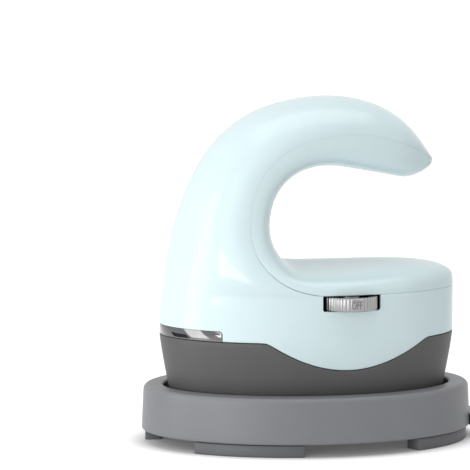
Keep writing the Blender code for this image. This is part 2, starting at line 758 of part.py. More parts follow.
def cut_window(shell):
    low = (WHEEL_X - WINDOW_HALF_WIDTH, -BODY_HALF_WIDTH - OVERRUN, WINDOW_BOTTOM)
    high = (WHEEL_X + WINDOW_HALF_WIDTH, WHEEL_Y + WHEEL_PLAY, SEAM_LEVEL + OVERRUN)
    window = box_bm(low, high, WINDOW_ROUND, "y")
    combine(shell, make_cutter("window_cutter", window, "press"), "DIFFERENCE")


def trim_box(inset):
    """The block of space that the trim band takes up, drawn in all round by inset."""
    low = (-BODY_HALF_LENGTH - OVERRUN, -BODY_HALF_WIDTH - OVERRUN, JOINT_LEVEL - OVERRUN)
    high = (-TRIM_END_X - inset, BODY_HALF_WIDTH + OVERRUN, JOINT_LEVEL + TRIM_HEIGHT - inset)
    return box_bm(low, high, TRIM_CORNER, "y")


def cut_trim_recess(shell):
    combine(shell, make_cutter("trim_cutter", trim_box(0), "press"), "DIFFERENCE")


def bushing_frame():
    """Place on the shell's outside, and the direction out of it, where the cord comes in."""
    angle = math.radians(BUSHING_ANGLE)
    place = ellipse_point(BODY_HALF_LENGTH, angle, BUSHING_LEVEL)
    out = Vector((math.cos(angle) / BODY_HALF_LENGTH, math.sin(angle) / BODY_HALF_WIDTH, 0))
    return place, out.normalized()


def cut_bushing_hole(shell):
    place, out = bushing_frame()
    radius = BUSHING_RADIUS + GAP
    profile = ((radius, -SHELL_WALL - OVERRUN), (radius, OVERRUN))
    cutter = turned("bushing_cutter", profile, place, out, "press", PART_BLACK, POST_SIDES)
    cutter.hide_render = True
    cutter.display_type = "WIRE"
    combine(shell, cutter, "DIFFERENCE")


def cut_light_slot(shell):
    half = Vector((0, LIGHT_WIDTH / 2 + GAP, LIGHT_HEIGHT / 2 + GAP))
    middle = Vector((BODY_HALF_LENGTH, 0, LIGHT_LEVEL))
    reach = Vector((OVERRUN, 0, 0))
    bm = box_bm(middle - half - reach, middle + half + reach)
    combine(shell, make_cutter("light_cutter", bm, "press"), "DIFFERENCE")


def cover_rows(inset, last_station):
    """The inner cover's places by key, from the nose over the deck, up the stem and along the arm."""
    places = {}
    for number in range(DECK_STEPS + 1):
        turn = math.pi / 2 * (1 - number / DECK_STEPS)
        row = deck_station(turn, inset)
        points = section(row, Vector((0, -1)), -1, 0, 1, DECK_ROUND_POWER, HALF_SIDES)
        if number == 0:
            places["nose", 0] = (points[0] + points[-1]) / 2
            continue
        for step, place in enumerate(points):
            places["deck", number, step] = place
    for number, (row, normal) in enumerate(handle_stations(last_station, HANDLE_STEPS)):
        if number == 0:
            continue
        share = number / HANDLE_STEPS
        fade = end_fade(share) if inset else 1
        blend = min(share / ARM_BLEND_SHARE, 1)
        power = DECK_ROUND_POWER + (ARM_ROUND_POWER - DECK_ROUND_POWER) * blend
        points = section(row, normal, -1, inset, fade, power, HALF_SIDES)
        if number == HANDLE_STEPS:
            places["tip", 0] = (points[0] + points[-1]) / 2
            continue
        for step, place in enumerate(points):
            places["station", number, step] = place
    return places


def make_inner_cover():
    rows = [[("nose", 0)]]
    for number in range(1, DECK_STEPS + 1):
        rows.append([("deck", number, step) for step in range(HALF_SIDES + 1)])
    for number in range(1, HANDLE_STEPS):
        rows.append([("station", number, step) for step in range(HALF_SIDES + 1)])
    rows.append([("tip", 0)])
    near = [row[0] for row in rows[1:-1]]
    far = [row[-1] for row in rows[1:-1]]
    boundary = rows[0] + near + rows[-1] + far[::-1]
    outer = cover_rows(0, LAST_STATION)
    inner = cover_rows(SHELL_WALL, FIRST_STATION + (LAST_STATION - FIRST_STATION) * TIP_CAVITY_SHARE)
    cover = sheet_solid("inner_cover", outer, inner, grid_faces(rows), [boundary], "press", PALE_BLUE)
    for number, x in enumerate((FRONT_POST_X, REAR_POST_X)):
        top = SEAM_LEVEL + deck_height(x, BODY_HALF_LENGTH, DECK_RISE) - SHELL_WALL / 2
        bottom = FLOOR_TOP + GAP
        post = cylinder_bm(POST_RADIUS, bottom, top, x, 0)
        combine(cover, make_cutter(f"cover_post_{number}", post, "press"), "UNION")
        hole = cylinder_bm(SCREW_RADIUS + SCREW_PLAY, bottom - OVERRUN, bottom + POST_HOLE_DEPTH, x, 0)
        combine(cover, make_cutter(f"cover_hole_{number}", hole, "press"), "DIFFERENCE")
    return cover


def make_skirt():
    """Lower housing: tapered wall, lip behind the shell's edge, and the floor inside."""
    edge = SHELL_WALL + GAP
    profile = []
    for share in SKIRT_SHARES:
        profile.append((body_half_length, skirt_level(share)))
    profile.append((inset_body(edge), skirt_level(1.0)))
    profile.append((inset_body(edge), lip_level))
    profile.append((inset_body(edge + LIP_WALL), lip_level))
    profile.append((inset_body(edge + LIP_WALL), FLOOR_TOP))
    lower = [(inset_body(SKIRT_WALL), FLOOR_BOTTOM), (inset_body(SKIRT_WALL), SKIRT_BOTTOM)]
    skirt = ring_stack("lower_housing", lower + profile, "press", DARK_GREY)
    for number, (x, y) in enumerate(BOARD_POSTS):
        post = cylinder_bm(BOARD_POST_RADIUS, FLOOR_BOTTOM + GAP, BOARD_LEVEL - GAP, x, y, SCREW_SIDES)
        combine(skirt, make_cutter(f"board_post_{number}", post, "press"), "UNION")
        top = BOARD_LEVEL - GAP
        radius = BOARD_SCREW_RADIUS + SCREW_PLAY
        hole = cylinder_bm(radius, top - BOARD_POST_HOLE_DEPTH - GAP, top + OVERRUN, x, y, SCREW_SIDES)
        combine(skirt, make_cutter(f"board_hole_{number}", hole, "press"), "DIFFERENCE")
    pierce(skirt, "floor", FLOOR_BOTTOM, FLOOR_TOP, SCREW_RADIUS + SCREW_PLAY)
    return skirt


def skirt_level(share):
    def level(angle):
        return SKIRT_BOTTOM + (joint_level(angle) - GAP / 2 - SKIRT_BOTTOM) * share

    return level


def lip_level(angle):
    return joint_level(angle) + LIP_HEIGHT


def inset_body(inset):
    def reach(level):
        return body_half_length(level) - inset

    return reach


def pierce(piece, label, bottom, top, housing_screw_radius):
    """Holes through a floor for the plate screws, housing screws, leads and sensor."""
    low = bottom - GAP
    high = top + GAP
    cutters = []
    for x in (-BOSS_X, BOSS_X):
        for y in (-BOSS_Y, BOSS_Y):
            cutters.append(cylinder_bm(SCREW_RADIUS + SCREW_PLAY, low, high, x, y, SCREW_SIDES))
    for x in (FRONT_POST_X, REAR_POST_X):
        cutters.append(cylinder_bm(housing_screw_radius, low, high, x, 0, SCREW_SIDES))
    cutters.append(cylinder_bm(SENSOR_HOLE_RADIUS, low, high, SENSOR_X, 0))
    half = Vector((CABLE_SLOT_LENGTH / 2, CABLE_SLOT_HALF_WIDTH, 0))
    middle = Vector((-CABLE_SLOT_X, 0, 0))
    slot_low = middle - half + Vector((0, 0, low))
    slot_high = middle + half + Vector((0, 0, high))
    cutters.append(box_bm(slot_low, slot_high))
    for number, bm in enumerate(cutters):
        combine(piece, make_cutter(f"{label}_cutter_{number}", bm, "press"), "DIFFERENCE")


def make_heat_plate():
    reach = PLATE_HALF_LENGTH
    profile = [
        (reach - PLATE_EDGE_ROUND, PLATE_BOTTOM),
        (reach, PLATE_BOTTOM + PLATE_EDGE_ROUND),
        (reach, PLATE_LIP_TOP),
        (reach - PLATE_STEP, PLATE_LIP_TOP),
        (reach - PLATE_STEP, PLATE_TOP),
    ]
    plate = ring_stack("heat_plate", profile, "press", CREAM)
    for number, (x, y) in enumerate(boss_places()):
        boss = cylinder_bm(BOSS_RADIUS, PLATE_TOP - PLATE_THICKNESS / 2, BOSS_TOP, x, y)
        combine(plate, make_cutter(f"boss_{number}", boss, "press"), "UNION")
        bottom = BOSS_TOP - BOSS_HOLE_DEPTH
        hole = cylinder_bm(SCREW_RADIUS + SCREW_PLAY, bottom, BOSS_TOP + GAP, x, y, SCREW_SIDES)
        combine(plate, make_cutter(f"boss_hole_{number}", hole, "press"), "DIFFERENCE")
    return plate


def boss_places():
    return [(x, y) for x in (-BOSS_X, BOSS_X) for y in (-BOSS_Y, BOSS_Y)]


def make_heat_shield():
    reach = body_half_length(SHIELD_BOTTOM) - SKIRT_WALL - SHIELD_INSET
    profile = [(reach, SHIELD_BOTTOM), (reach, SHIELD_TOP)]
    shield = ring_stack("heat_shield", profile, "press", BARE_METAL, SHEET_SIDES)
    pierce(shield, "shield", SHIELD_BOTTOM, SHIELD_TOP, HEAD_CLEARANCE_RADIUS)
    return shield


def heater_ends():
    """Where the two tails of the element end, on either side of the middle."""
    angle = math.pi - math.radians(HEATER_OPENING_ANGLE)
    x = HEATER_HALF_LENGTH * math.cos(angle) - HEATER_TAIL
    y = HEATER_HALF_WIDTH * math.sin(angle)
    return x, y


def make_heater():
    level = PLATE_TOP + GAP + HEATER_RADIUS
    tail_x, tail_y = heater_ends()
    sweep = math.pi - math.radians(HEATER_OPENING_ANGLE)
    points = [(tail_x, -tail_y, level)]
    for step in range(HEATER_TURN_STEPS + 1):
        angle = -sweep + 2 * sweep * step / HEATER_TURN_STEPS
        x = HEATER_HALF_LENGTH * math.cos(angle)
        points.append((x, HEATER_HALF_WIDTH * math.sin(angle), level))
    points.append((tail_x, tail_y, level))
    return tube("heating_element", points, HEATER_RADIUS, HEATER_STEPS, "press", BARE_METAL, 2)


def make_sensor_and_fuse():
    base = PLATE_TOP + GAP
    profile = ((SENSOR_RADIUS, base), (SENSOR_RADIUS, base + SENSOR_HEIGHT))
    turned("temperature_sensor", profile, (SENSOR_X, 0, 0), (0, 0, 1), "press", SILVER)
    half = FUSE_LENGTH / 2
    profile = ((FUSE_RADIUS, -half), (FUSE_RADIUS, half))
    place = (FUSE_X, 0, base + FUSE_RADIUS)
    turned("thermal_fuse", profile, place, (1, 0, 0), "press", PART_CREAM)


def make_board():
    corners = (
        (BOARD_LEFT, BOARD_FRONT),
        (BOARD_RIGHT - BOARD_CORNER, BOARD_FRONT),
        (BOARD_RIGHT, BOARD_FRONT + BOARD_CORNER),
        (BOARD_RIGHT, BOARD_BACK),
        (BOARD_LEFT, BOARD_BACK),
    )
    bm = bmesh.new()
    lower = [bm.verts.new((x, y, BOARD_LEVEL)) for x, y in corners]
    upper = [bm.verts.new((x, y, BOARD_TOP)) for x, y in corners]
    join_rings(bm, lower, upper)
    bm.faces.new(lower)
    bm.faces.new(upper)
    board = make_object("control_board", bm, "press", BOARD_GREEN)
    for number, (x, y) in enumerate(BOARD_POSTS):
        radius = BOARD_SCREW_RADIUS + SCREW_PLAY
        hole = cylinder_bm(radius, BOARD_LEVEL - GAP, BOARD_TOP + GAP, x, y, SCREW_SIDES)
        combine(board, make_cutter(f"board_screw_hole_{number}", hole, "press"), "DIFFERENCE")
    return board


def standing_box(name, place, size, bottom, look):
    x, y = place
    length, width, height = size
    low = (x - length / 2, y - width / 2, bottom)
    high = (x + length / 2, y + width / 2, bottom + height)
    return box(name, low, high, "press", look)


def make_board_parts():
    standing_box("power_relay", (RELAY_X, PART_Y), RELAY_SIZE, PART_LEVEL, PART_BLUE)
    standing_box("film_capacitor", (CAPACITOR_X, PART_Y), CAPACITOR_SIZE, PART_LEVEL, PART_CREAM)
    low = (WHEEL_X - SWITCH_HALF_LENGTH, WHEEL_Y - SWITCH_FRONT_REACH, PART_LEVEL)
    high = (WHEEL_X + SWITCH_HALF_LENGTH, WHEEL_Y + SWITCH_BACK_REACH, SWITCH_TOP)
    switch = box("rotary_switch", low, high, "press", PART_BLACK)
    radius = SHAFT_RADIUS + SHAFT_PLAY
    bore = cylinder_bm(radius, SWITCH_TOP - SWITCH_BORE_DEPTH, SWITCH_TOP + GAP, WHEEL_X, WHEEL_Y)
    combine(switch, make_cutter("switch_bore", bore, "press"), "DIFFERENCE")


def make_thumbwheel():
    """Ridged wheel and the shaft that turns with it, both modelled about the wheel's own axis."""
    bm = bmesh.new()
    sides = 2 * WHEEL_RIDGE_COUNT
    levels = (WHEEL_BOTTOM, WHEEL_TOP)
    rims = []
    bores = []
    for level in levels:
        rim = []
        bore = []
        for step in range(sides):
            angle = 2 * math.pi * step / sides
            radius = WHEEL_RADIUS - (WHEEL_RIDGE_DEPTH if step % 2 else 0)
            rim.append(bm.verts.new((radius * math.cos(angle), radius * math.sin(angle), level)))
            hole = SHAFT_RADIUS + SHAFT_PLAY
            bore.append(bm.verts.new((hole * math.cos(angle), hole * math.sin(angle), level)))
        rims.append(rim)
        bores.append(bore)
    join_rings(bm, rims[0], rims[1])
    join_rings(bm, rims[1], bores[1])
    join_rings(bm, bores[1], bores[0])
    join_rings(bm, bores[0], rims[0])
    make_object("thumbwheel", bm, "wheel", SILVER)
    bottom = SWITCH_TOP - SWITCH_BORE_DEPTH + GAP
    profile = ((SHAFT_RADIUS, bottom), (SHAFT_RADIUS, WHEEL_TOP))
    turned("switch_shaft", profile, (0, 0, 0), (0, 0, 1), "wheel", PART_CREAM)


def make_trim():
    """A band swept round the rear end, its two ends cut square and rounded to fit the recess."""
    oversweep = math.radians(TRIM_OVERSWEEP_ANGLE)
    angle = math.pi - math.acos(TRIM_END_X / BODY_HALF_LENGTH) - oversweep
    outside = BODY_HALF_LENGTH - TRIM_INSET
    inside = BODY_HALF_LENGTH - SHELL_WALL
    low = JOINT_LEVEL + GAP / 2
    high = JOINT_LEVEL + TRIM_HEIGHT + OVERRUN
    profile = ((outside, low), (outside, high), (inside, high), (inside, low))
    trim = arc_band("rear_trim", profile, angle, 2 * math.pi - angle, TRIM_STEPS, "press", BRIGHT_TRIM)
    combine(trim, make_cutter("trim_ends", trim_box(GAP), "press"), "INTERSECT")
    return trim


def make_bushing():
    place, out = bushing_frame()
    proud = BUSHING_PROUD
    back = proud - BUSHING_LENGTH
    flange_front = -SHELL_WALL - BUSHING_FLANGE_PLAY
    profile = (
        (BUSHING_BORE, back),
        (BUSHING_RADIUS, back),
        (BUSHING_RADIUS, flange_front - BUSHING_FLANGE),
        (BUSHING_FLANGE_RADIUS, flange_front - BUSHING_FLANGE),
        (BUSHING_FLANGE_RADIUS, flange_front),
        (BUSHING_RADIUS, flange_front),
        (BUSHING_RADIUS, proud),
        (BUSHING_BORE, proud),
    )
    bm = bmesh.new()
    rings = []
    for radius, height in profile:
        ring = []
        for step in range(POST_SIDES):
            angle = 2 * math.pi * step / POST_SIDES
            ring.append(bm.verts.new((radius * math.cos(angle), radius * math.sin(angle), height)))
        rings.append(ring)
    for first, second in zip(rings, rings[1:] + rings[:1]):
        join_rings(bm, first, second)
    turn = Vector((0, 0, 1)).rotation_difference(out).to_matrix().to_4x4()
    bmesh.ops.transform(bm, matrix=Matrix.Translation(place) @ turn, verts=bm.verts)
    return make_object("cord_bushing", bm, "press", PART_BLACK)


def make_status_light():
    front = BODY_HALF_LENGTH - LIGHT_INSET
    back = front - LENS_DEPTH
    low = (back, -LIGHT_WIDTH / 2, LIGHT_LEVEL - LIGHT_HEIGHT / 2)
    high = (front, LIGHT_WIDTH / 2, LIGHT_LEVEL + LIGHT_HEIGHT / 2)
    box("status_lens", low, high, "press", LENS_CLEAR)
    place = (back - GAP - LED_LENGTH, 0, LIGHT_LEVEL)
    profile = ((LED_RADIUS, 0), (LED_RADIUS, LED_LENGTH))
    turned("status_led", profile, place, (1, 0, 0), "press", LENS_CLEAR)


def make_leads():
    block_low = FLOOR_TOP + GAP
    standing_box("terminal_block", (BLOCK_X, 0), BLOCK_SIZE, block_low, PART_CREAM)
    length, width, height = BLOCK_SIZE
    rear = BLOCK_X - length / 2 - GAP
    middle = block_low + height / 2
    tail_x, tail_y = heater_ends()
    element = PLATE_TOP + GAP + HEATER_RADIUS
    for name, side in (("heater_lead_live", -1), ("heater_lead_neutral", 1)):
        y = side * tail_y
        block_y = side * width / 4
        points = (
            (tail_x - GAP, y, element),
            (tail_x - GAP - LEAD_RADIUS, y, element),
            (-CABLE_SLOT_X, y, element + HEATER_RADIUS),
            (-CABLE_SLOT_X - LEAD_RADIUS, y, FLOOR_BOTTOM),
            (-CABLE_SLOT_X, (y + block_y) / 2, middle - LEAD_RADIUS),
            (rear - LEAD_RADIUS, block_y, middle),
            (rear, block_y, middle),
        )
        tube(name, points, LEAD_RADIUS, LEAD_STEPS, "press", LEAD_RED)
    place, out = bushing_frame()
    start = place - out * (BUSHING_LENGTH - BUSHING_PROUD + GAP)
    top = block_low + height + GAP
    points = (
        start,
        start - out * MAINS_RADIUS * 2,
        (BLOCK_X, start.y * MAINS_BEND_SHARE, top + 4 * MAINS_RADIUS),
        (BLOCK_X, 0, top + 2 * MAINS_RADIUS),
        (BLOCK_X, 0, top + MAINS_RADIUS),
        (BLOCK_X, 0, top),
    )
    tube("mains_tail", points, MAINS_RADIUS, LEAD_STEPS, "press", PART_BLACK)
    edge = (BOARD_LEVEL + BOARD_TOP) / 2
    lane = -2 * POST_RADIUS - LEAD_RADIUS
    points = (
        (BLOCK_X + length / 2 + GAP, -width / 4, middle),
        (BLOCK_X + length / 2 + LEAD_RADIUS, -width / 4, middle),
        (BLOCK_X + length, -width / 4, middle),
        (REAR_POST_X - POST_RADIUS, lane, edge),
        (BOARD_LEFT - LEAD_RADIUS, lane, edge),
        (BOARD_LEFT - GAP, lane, edge),
    )
    tube("board_lead", points, LEAD_RADIUS, LEAD_STEPS, "press", LEAD_WHITE)
    sensor_top = PLATE_TOP + GAP + SENSOR_HEIGHT + GAP
    points = (
        (SENSOR_X, 0, sensor_top),
        (SENSOR_X, 0, sensor_top + SENSOR_LEAD_RADIUS),
        (SENSOR_X, 0, FLOOR_BOTTOM),
        (SENSOR_X + SENSOR_HOLE_RADIUS * SENSOR_BEND_SHARE, 0, FLOOR_TOP + LIP_HEIGHT),
        (SENSOR_X, 0, BOARD_LEVEL - GAP - SENSOR_LEAD_RADIUS),
        (SENSOR_X, 0, BOARD_LEVEL - GAP),
    )
    tube("sensor_lead", points, SENSOR_LEAD_RADIUS, LEAD_STEPS, "press", LEAD_WHITE)


def screw(name, place, up, length, sizes):
    """A pan-head screw with its head's underside at place and its shank running along up."""
    radius, head_radius, head_height = sizes
    dome = head_height * SCREW_DOME_SHARE
    profile = (
        (head_radius - dome, -head_height),
        (head_radius, dome - head_height),
        (head_radius, 0),
        (radius, 0),
        (radius, length - radius),
        (radius / 2, length),
    )
    return turned(name, profile, place, (0, 0, up), "press", SCREW_STEEL)


def make_screws():
    for number, (x, y) in enumerate(boss_places(), 1):
        place = (x, y, FLOOR_TOP + GAP)
        screw(f"plate_screw_{number}", place, -1, PLATE_SCREW_LENGTH, SCREW_HEAD)
    for name, x in (("housing_screw_front", FRONT_POST_X), ("housing_screw_rear", REAR_POST_X)):
        place = (x, 0, FLOOR_BOTTOM - GAP)
        screw(name, place, 1, HOUSING_SCREW_LENGTH, SCREW_HEAD)
    for number, (x, y) in enumerate(BOARD_POSTS, 1):
        place = (x, y, BOARD_TOP + GAP)
        screw(f"board_screw_{number}", place, -1, BOARD_SCREW_LENGTH, BOARD_SCREW_HEAD)


def tray_half_length(level):
    """The tray's outside, which flares a little towards the floor."""
    share = (TRAY_RIM_TOP - level) / (TRAY_RIM_TOP - FOOT_HEIGHT)
    return TRAY_HALF_LENGTH - TRAY_FLARE * (1 - share)


def rim_round(centre_level, radius):
    """(half length, level) points round the rim's outer top edge, from its top outwards."""
    points = []
    reach = tray_half_length(centre_level) - radius
    for step in range(RIM_ROUND_STEPS + 1):
        angle = math.pi / 2 * (1 - step / RIM_ROUND_STEPS)
        points.append((reach + radius * math.cos(angle), centre_level + radius * math.sin(angle)))
    return points


def make_tray():
    """Tray with a hollow rim that is open below, and a floor for the liner."""
    opening = TRAY_OPENING_HALF_LENGTH
    outer = TRAY_HALF_LENGTH
    channel_top = TRAY_RIM_TOP - TRAY_WALL
    profile = [
        (opening, TRAY_FLOOR_TOP),
        (opening, TRAY_RIM_TOP - TRAY_INNER_ROUND),
        (opening + TRAY_INNER_ROUND, TRAY_RIM_TOP),
    ]
    profile += rim_round(TRAY_RIM_TOP - TRAY_RIM_ROUND, TRAY_RIM_ROUND)
    profile += [
        (tray_half_length(FOOT_HEIGHT + TRAY_FOOT_ROUND), FOOT_HEIGHT + TRAY_FOOT_ROUND),
        (outer - TRAY_FOOT_ROUND, FOOT_HEIGHT),
        (outer - TRAY_WALL, FOOT_HEIGHT),
        (tray_half_length(channel_top) - TRAY_WALL, channel_top),
        (opening + TRAY_WALL, channel_top),
        (opening + TRAY_WALL, FOOT_HEIGHT),
        (opening, FOOT_HEIGHT),
        (opening, TRAY_FLOOR_TOP - TRAY_FLOOR_THICKNESS),
    ]
    tray = ring_stack("base_tray", profile, "base", TRAY_GREY)
    low = (outer - TRAY_WALL / 2, -TAB_HALF_WIDTH, FOOT_HEIGHT)
    high = (outer + TAB_REACH, TAB_HALF_WIDTH, FOOT_HEIGHT + TAB_HEIGHT)
    combine(tray, make_cutter("tray_tab", box_bm(low, high, TAB_ROUND, "z"), "base"), "UNION")
    return tray


def make_liner():
    reach = TRAY_OPENING_HALF_LENGTH - LINER_PLAY
    profile = [(reach, LINER_BOTTOM), (reach, LINER_BOTTOM + LINER_THICKNESS)]
    return ring_stack("base_liner", profile, "base", LINER_BLACK, SHEET_SIDES)


def make_feet():
    outside = TRAY_HALF_LENGTH - FOOT_INSET
    inside = TRAY_OPENING_HALF_LENGTH + FOOT_INNER_INSET
    tongue_out = TRAY_HALF_LENGTH - TRAY_WALL - TONGUE_PLAY
    tongue_in = TRAY_OPENING_HALF_LENGTH + TRAY_WALL + TONGUE_PLAY
    top = FOOT_HEIGHT - GAP
    profile = (
        (outside, top),
        (outside, FOOT_EDGE),
        (outside - FOOT_EDGE, 0),
        (inside + FOOT_EDGE, 0),
        (inside, FOOT_EDGE),
        (inside, top),
        (tongue_in, top),
        (tongue_in, top + TONGUE_HEIGHT),
        (tongue_out, top + TONGUE_HEIGHT),
        (tongue_out, top),
    )
    for name, (start, end) in FOOT_TURN_SHARES.items():
        steps = max(FOOT_LEAST_STEPS, round((end - start) * BODY_SIDES))
        arc_band(name, profile, 2 * math.pi * start, 2 * math.pi * end, steps, "base", FOOT_GREY)


def main():
    clear_scene()
    make_holders()
    make_tray()
    make_liner()
    make_feet()
    make_heat_plate()
    make_heater()
    make_sensor_and_fuse()
    make_heat_shield()
    make_skirt()
    make_outer_shell()
    make_inner_cover()
    make_trim()
    make_board()
    make_board_parts()
    make_thumbwheel()
    make_bushing()
    make_status_light()
    make_leads()
    make_screws()


main()
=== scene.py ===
"""Looks for the mini heat press: smooth skins, finishes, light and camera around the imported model."""

import math

import bmesh
import bpy
import numpy as np
from mathutils import Matrix, Vector


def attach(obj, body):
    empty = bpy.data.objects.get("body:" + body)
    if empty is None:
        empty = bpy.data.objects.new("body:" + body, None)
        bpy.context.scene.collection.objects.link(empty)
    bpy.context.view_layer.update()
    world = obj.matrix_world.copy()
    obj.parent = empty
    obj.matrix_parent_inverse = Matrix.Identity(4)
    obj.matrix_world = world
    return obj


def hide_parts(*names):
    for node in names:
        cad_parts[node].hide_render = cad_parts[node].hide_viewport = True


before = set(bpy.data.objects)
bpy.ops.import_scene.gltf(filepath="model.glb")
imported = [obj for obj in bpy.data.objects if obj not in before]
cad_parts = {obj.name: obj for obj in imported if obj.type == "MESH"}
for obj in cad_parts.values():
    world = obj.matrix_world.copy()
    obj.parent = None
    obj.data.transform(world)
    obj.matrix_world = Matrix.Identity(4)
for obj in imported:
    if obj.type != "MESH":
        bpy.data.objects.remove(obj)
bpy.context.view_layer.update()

MM = 0.001

# Outlines, as in the part's source
PLATE_HALF_LENGTH = 52.5 * MM
PLATE_HALF_WIDTH = 30.0 * MM
PLATE_BOTTOM = 11.5 * MM
BODY_HALF_LENGTH = 58.3 * MM
BODY_TAPER = 5.3 * MM
TAPER_POWER = 1.2
SHELL_WALL = 2.0 * MM
SKIRT_WALL = 2.2 * MM
SKIRT_BOTTOM = 13.3 * MM
FLOOR_BOTTOM = 28.2 * MM
JOINT_LEVEL = 43.0 * MM
SEAM_LEVEL = 61.2 * MM
REAR_LEAN = 1.2 * MM
REAR_LEAN_POWER = 2.0
HANDLE_RISE = 74.1 * MM
DECK_RISE = 10.1 * MM
DECK_SAG = 1.7 * MM
DECK_NOSE_POWER = 4.0
DECK_ROUND_POWER = 3.0
ARM_ROUND_POWER = 3.3
ARM_BLEND_SHARE = 0.25
OUTER_ROUND_POWER = 2.0
SHOULDER_ROUND_POWER = 1.88
SHOULDER_END_SHARE = 0.3
VALLEY_SHIFT = 3.0 * MM
WAVE_DEPTH = 11.0 * MM
WAVE_CENTRE = 11.5 * MM
WAVE_HALF_SPAN = 32.0 * MM
WAVE_CORNER_SHARE = 0.06
LIP_HEIGHT = 2.5 * MM
TAB_REACH = 3.0 * MM
TAB_HALF_WIDTH = 10.0 * MM
TAB_HEIGHT = 4.5 * MM
TAB_ROUND = 1.2 * MM
FOOT_HEIGHT = 5.0 * MM
TRAY_HALF_LENGTH = 65.4 * MM
TRAY_FLARE = 0.8 * MM
TRAY_RIM_TOP = 22.8 * MM
TRAY_OPENING = 56.9 * MM
TRAY_RIM_ROUND = 2.2 * MM
TRAY_INNER_ROUND = 1.0 * MM
TRAY_FOOT_ROUND = 0.8 * MM
TRAY_WALL = 2.2 * MM
TRAY_FLOOR_TOP = 9.7 * MM
TRAY_FLOOR_THICKNESS = 2.5 * MM
FOOT_INSET = 1.3 * MM
FOOT_INNER_INSET = 0.7 * MM
FOOT_EDGE = 0.5 * MM
FOOT_END_EDGE = 0.3 * MM
FOOT_TURN_SHARES = {
    "foot_front_left": (0.6150, 0.7320),
    "foot_nose_end": (0.8542, 0.9861),
    "foot_back_right": (0.1150, 0.2320),
    "foot_rear_end": (0.3542, 0.4861),
}
WINDOW_CENTRE = 11.9 * MM
WINDOW_WIDTH = 22.8 * MM
WINDOW_HEIGHT = 6.1 * MM
WINDOW_ROUND = 0.9 * MM
WHEEL_RADIUS = 10.7 * MM
WHEEL_Y = -29.5 * MM
WHEEL_BOTTOM = 55.4 * MM
WHEEL_THICKNESS = 5.2 * MM
WHEEL_BORE = 2.3 * MM
TRIM_HEIGHT = 4.2 * MM
TRIM_END_X = 37.0 * MM
TRIM_INSET = 0.1 * MM
TRIM_CORNER = 1.4 * MM
BUSHING_ANGLE = 140.0
BUSHING_LEVEL = 54.0 * MM
BUSHING_RADIUS = 5.5 * MM
LIGHT_LEVEL = 47.5 * MM
LIGHT_WIDTH = 5.0 * MM
LIGHT_HEIGHT = 1.1 * MM
# Handle stations, as shares: the seam's x and level, the half width, and x and level of the outer
# and then of the inner crest
STATION_SHARES = (
    (-0.189, 0.036, 0.972, -0.965, 0.092, -0.111, 0.117),
    (-0.326, 0.109, 0.916, -0.942, 0.193, -0.197, 0.157),
    (-0.415, 0.206, 0.855, -0.911, 0.301, -0.259, 0.232),
    (-0.451, 0.335, 0.804, -0.867, 0.409, -0.286, 0.329),
    (-0.425, 0.497, 0.754, -0.781, 0.578, -0.260, 0.453),
    (-0.326, 0.645, 0.715, -0.626, 0.766, -0.175, 0.558),
    (-0.137, 0.757, 0.682, -0.343, 0.931, -0.032, 0.625),
    (0.120, 0.810, 0.642, 0.051, 1.003, 0.153, 0.640),
    (0.360, 0.810, 0.587, 0.377, 0.981, 0.352, 0.615),
    (0.575, 0.769, 0.497, 0.609, 0.895, 0.540, 0.588),
    (0.712, 0.726, 0.363, 0.746, 0.788, 0.670, 0.575),
    (0.798, 0.686, 0.223, 0.822, 0.706, 0.787, 0.607),
    (0.840, 0.666, 0.128, 0.848, 0.676, 0.838, 0.638),
    (0.852, 0.658, 0.000, 0.852, 0.658, 0.852, 0.658),
)
OUTER_X = 3
OUTER_LEVEL = 4
OUTER_CREST = slice(3, 5)
INNER_CREST = slice(5, 7)
GUIDE_SHARE = 0.189
STATION_NUDGE_SHARE = 0.01
CAVITY_END_POWER = 8
TIP_CAVITY_SHARE = 0.90
LEAST_CAVITY_SHARE = 0.2

# What the smooth skins add
SMOOTH_ANGLE = 40.0
WHEEL_SMOOTH_ANGLE = 50.0
SHARP_ANGLE = 50.0
LEAST_LENGTH = 1e-9
STRAIGHT_SHARE = 0.9
BLOCK_ROUND_STEPS = 8
ROUND_PROFILE = 0.5
PUNCH_SIDES = 64
TRAY_WALL_STEPS = 7
TRIM_OVERSWEEP = 8.0
LIGHT_ROUND_SHARE = 1 / 3
SEAM_GAP = 0.16 * MM
ARM_SEAM_GAP = 0.03 * MM
SEAM_CLOSE_SHARE = 0.3
PIECE_GAP = 0.3 * MM
EDGE_ROUND = 0.35 * MM
EDGE_STEPS = 3
LENGTH_ROUND_SHARE = 0.6
WALL_ROUND_SHARE = 0.4
OVERRUN = 4.0 * MM
AROUND = 224
HALF_AROUND = AROUND // 2
LOOP_STEPS = 16
SKIRT_STEPS = 14
HANDLE_STEPS = 130
DECK_STEPS = 44
RIM_STEPS = 10

# Directions of a rounding's ends, in degrees
OUTWARD = 0.0
UPWARD = 90.0
INWARD = 180.0
DOWNWARD = -90.0

# Knurled thumbwheel and the lettering on it
WHEEL_RIDGES = 46
WHEEL_RIDGE = 0.28 * MM
WHEEL_EDGE = 0.45 * MM
WHEEL_SIDES_PER_RIDGE = 10
WHEEL_DISH_WIDTH = 1.8 * MM
WHEEL_HUB = 4.6 * MM
LABEL_PATCH_SHARE = 0.85
LABEL_PATCH_DEPTH_SHARE = 0.2
LETTER_STEPS = 4
LETTER_THICKNESS = 0.5
LABEL_TURN = 5.5
LABEL_HALF_SPAN = 13.0
LABEL_HEIGHT = 3.1 * MM
LABEL_WIDTH = 4.3 * MM
LABEL_DEPTH = 0.04 * MM

# Camera
CAMERA_PLACE = (-0.16103, -0.96913, 0.18800)
CAMERA_AZIMUTH = -7.699
CAMERA_ELEVATION = 6.231
CAMERA_LENS = 192.2
CAMERA_NEAREST = 0.01

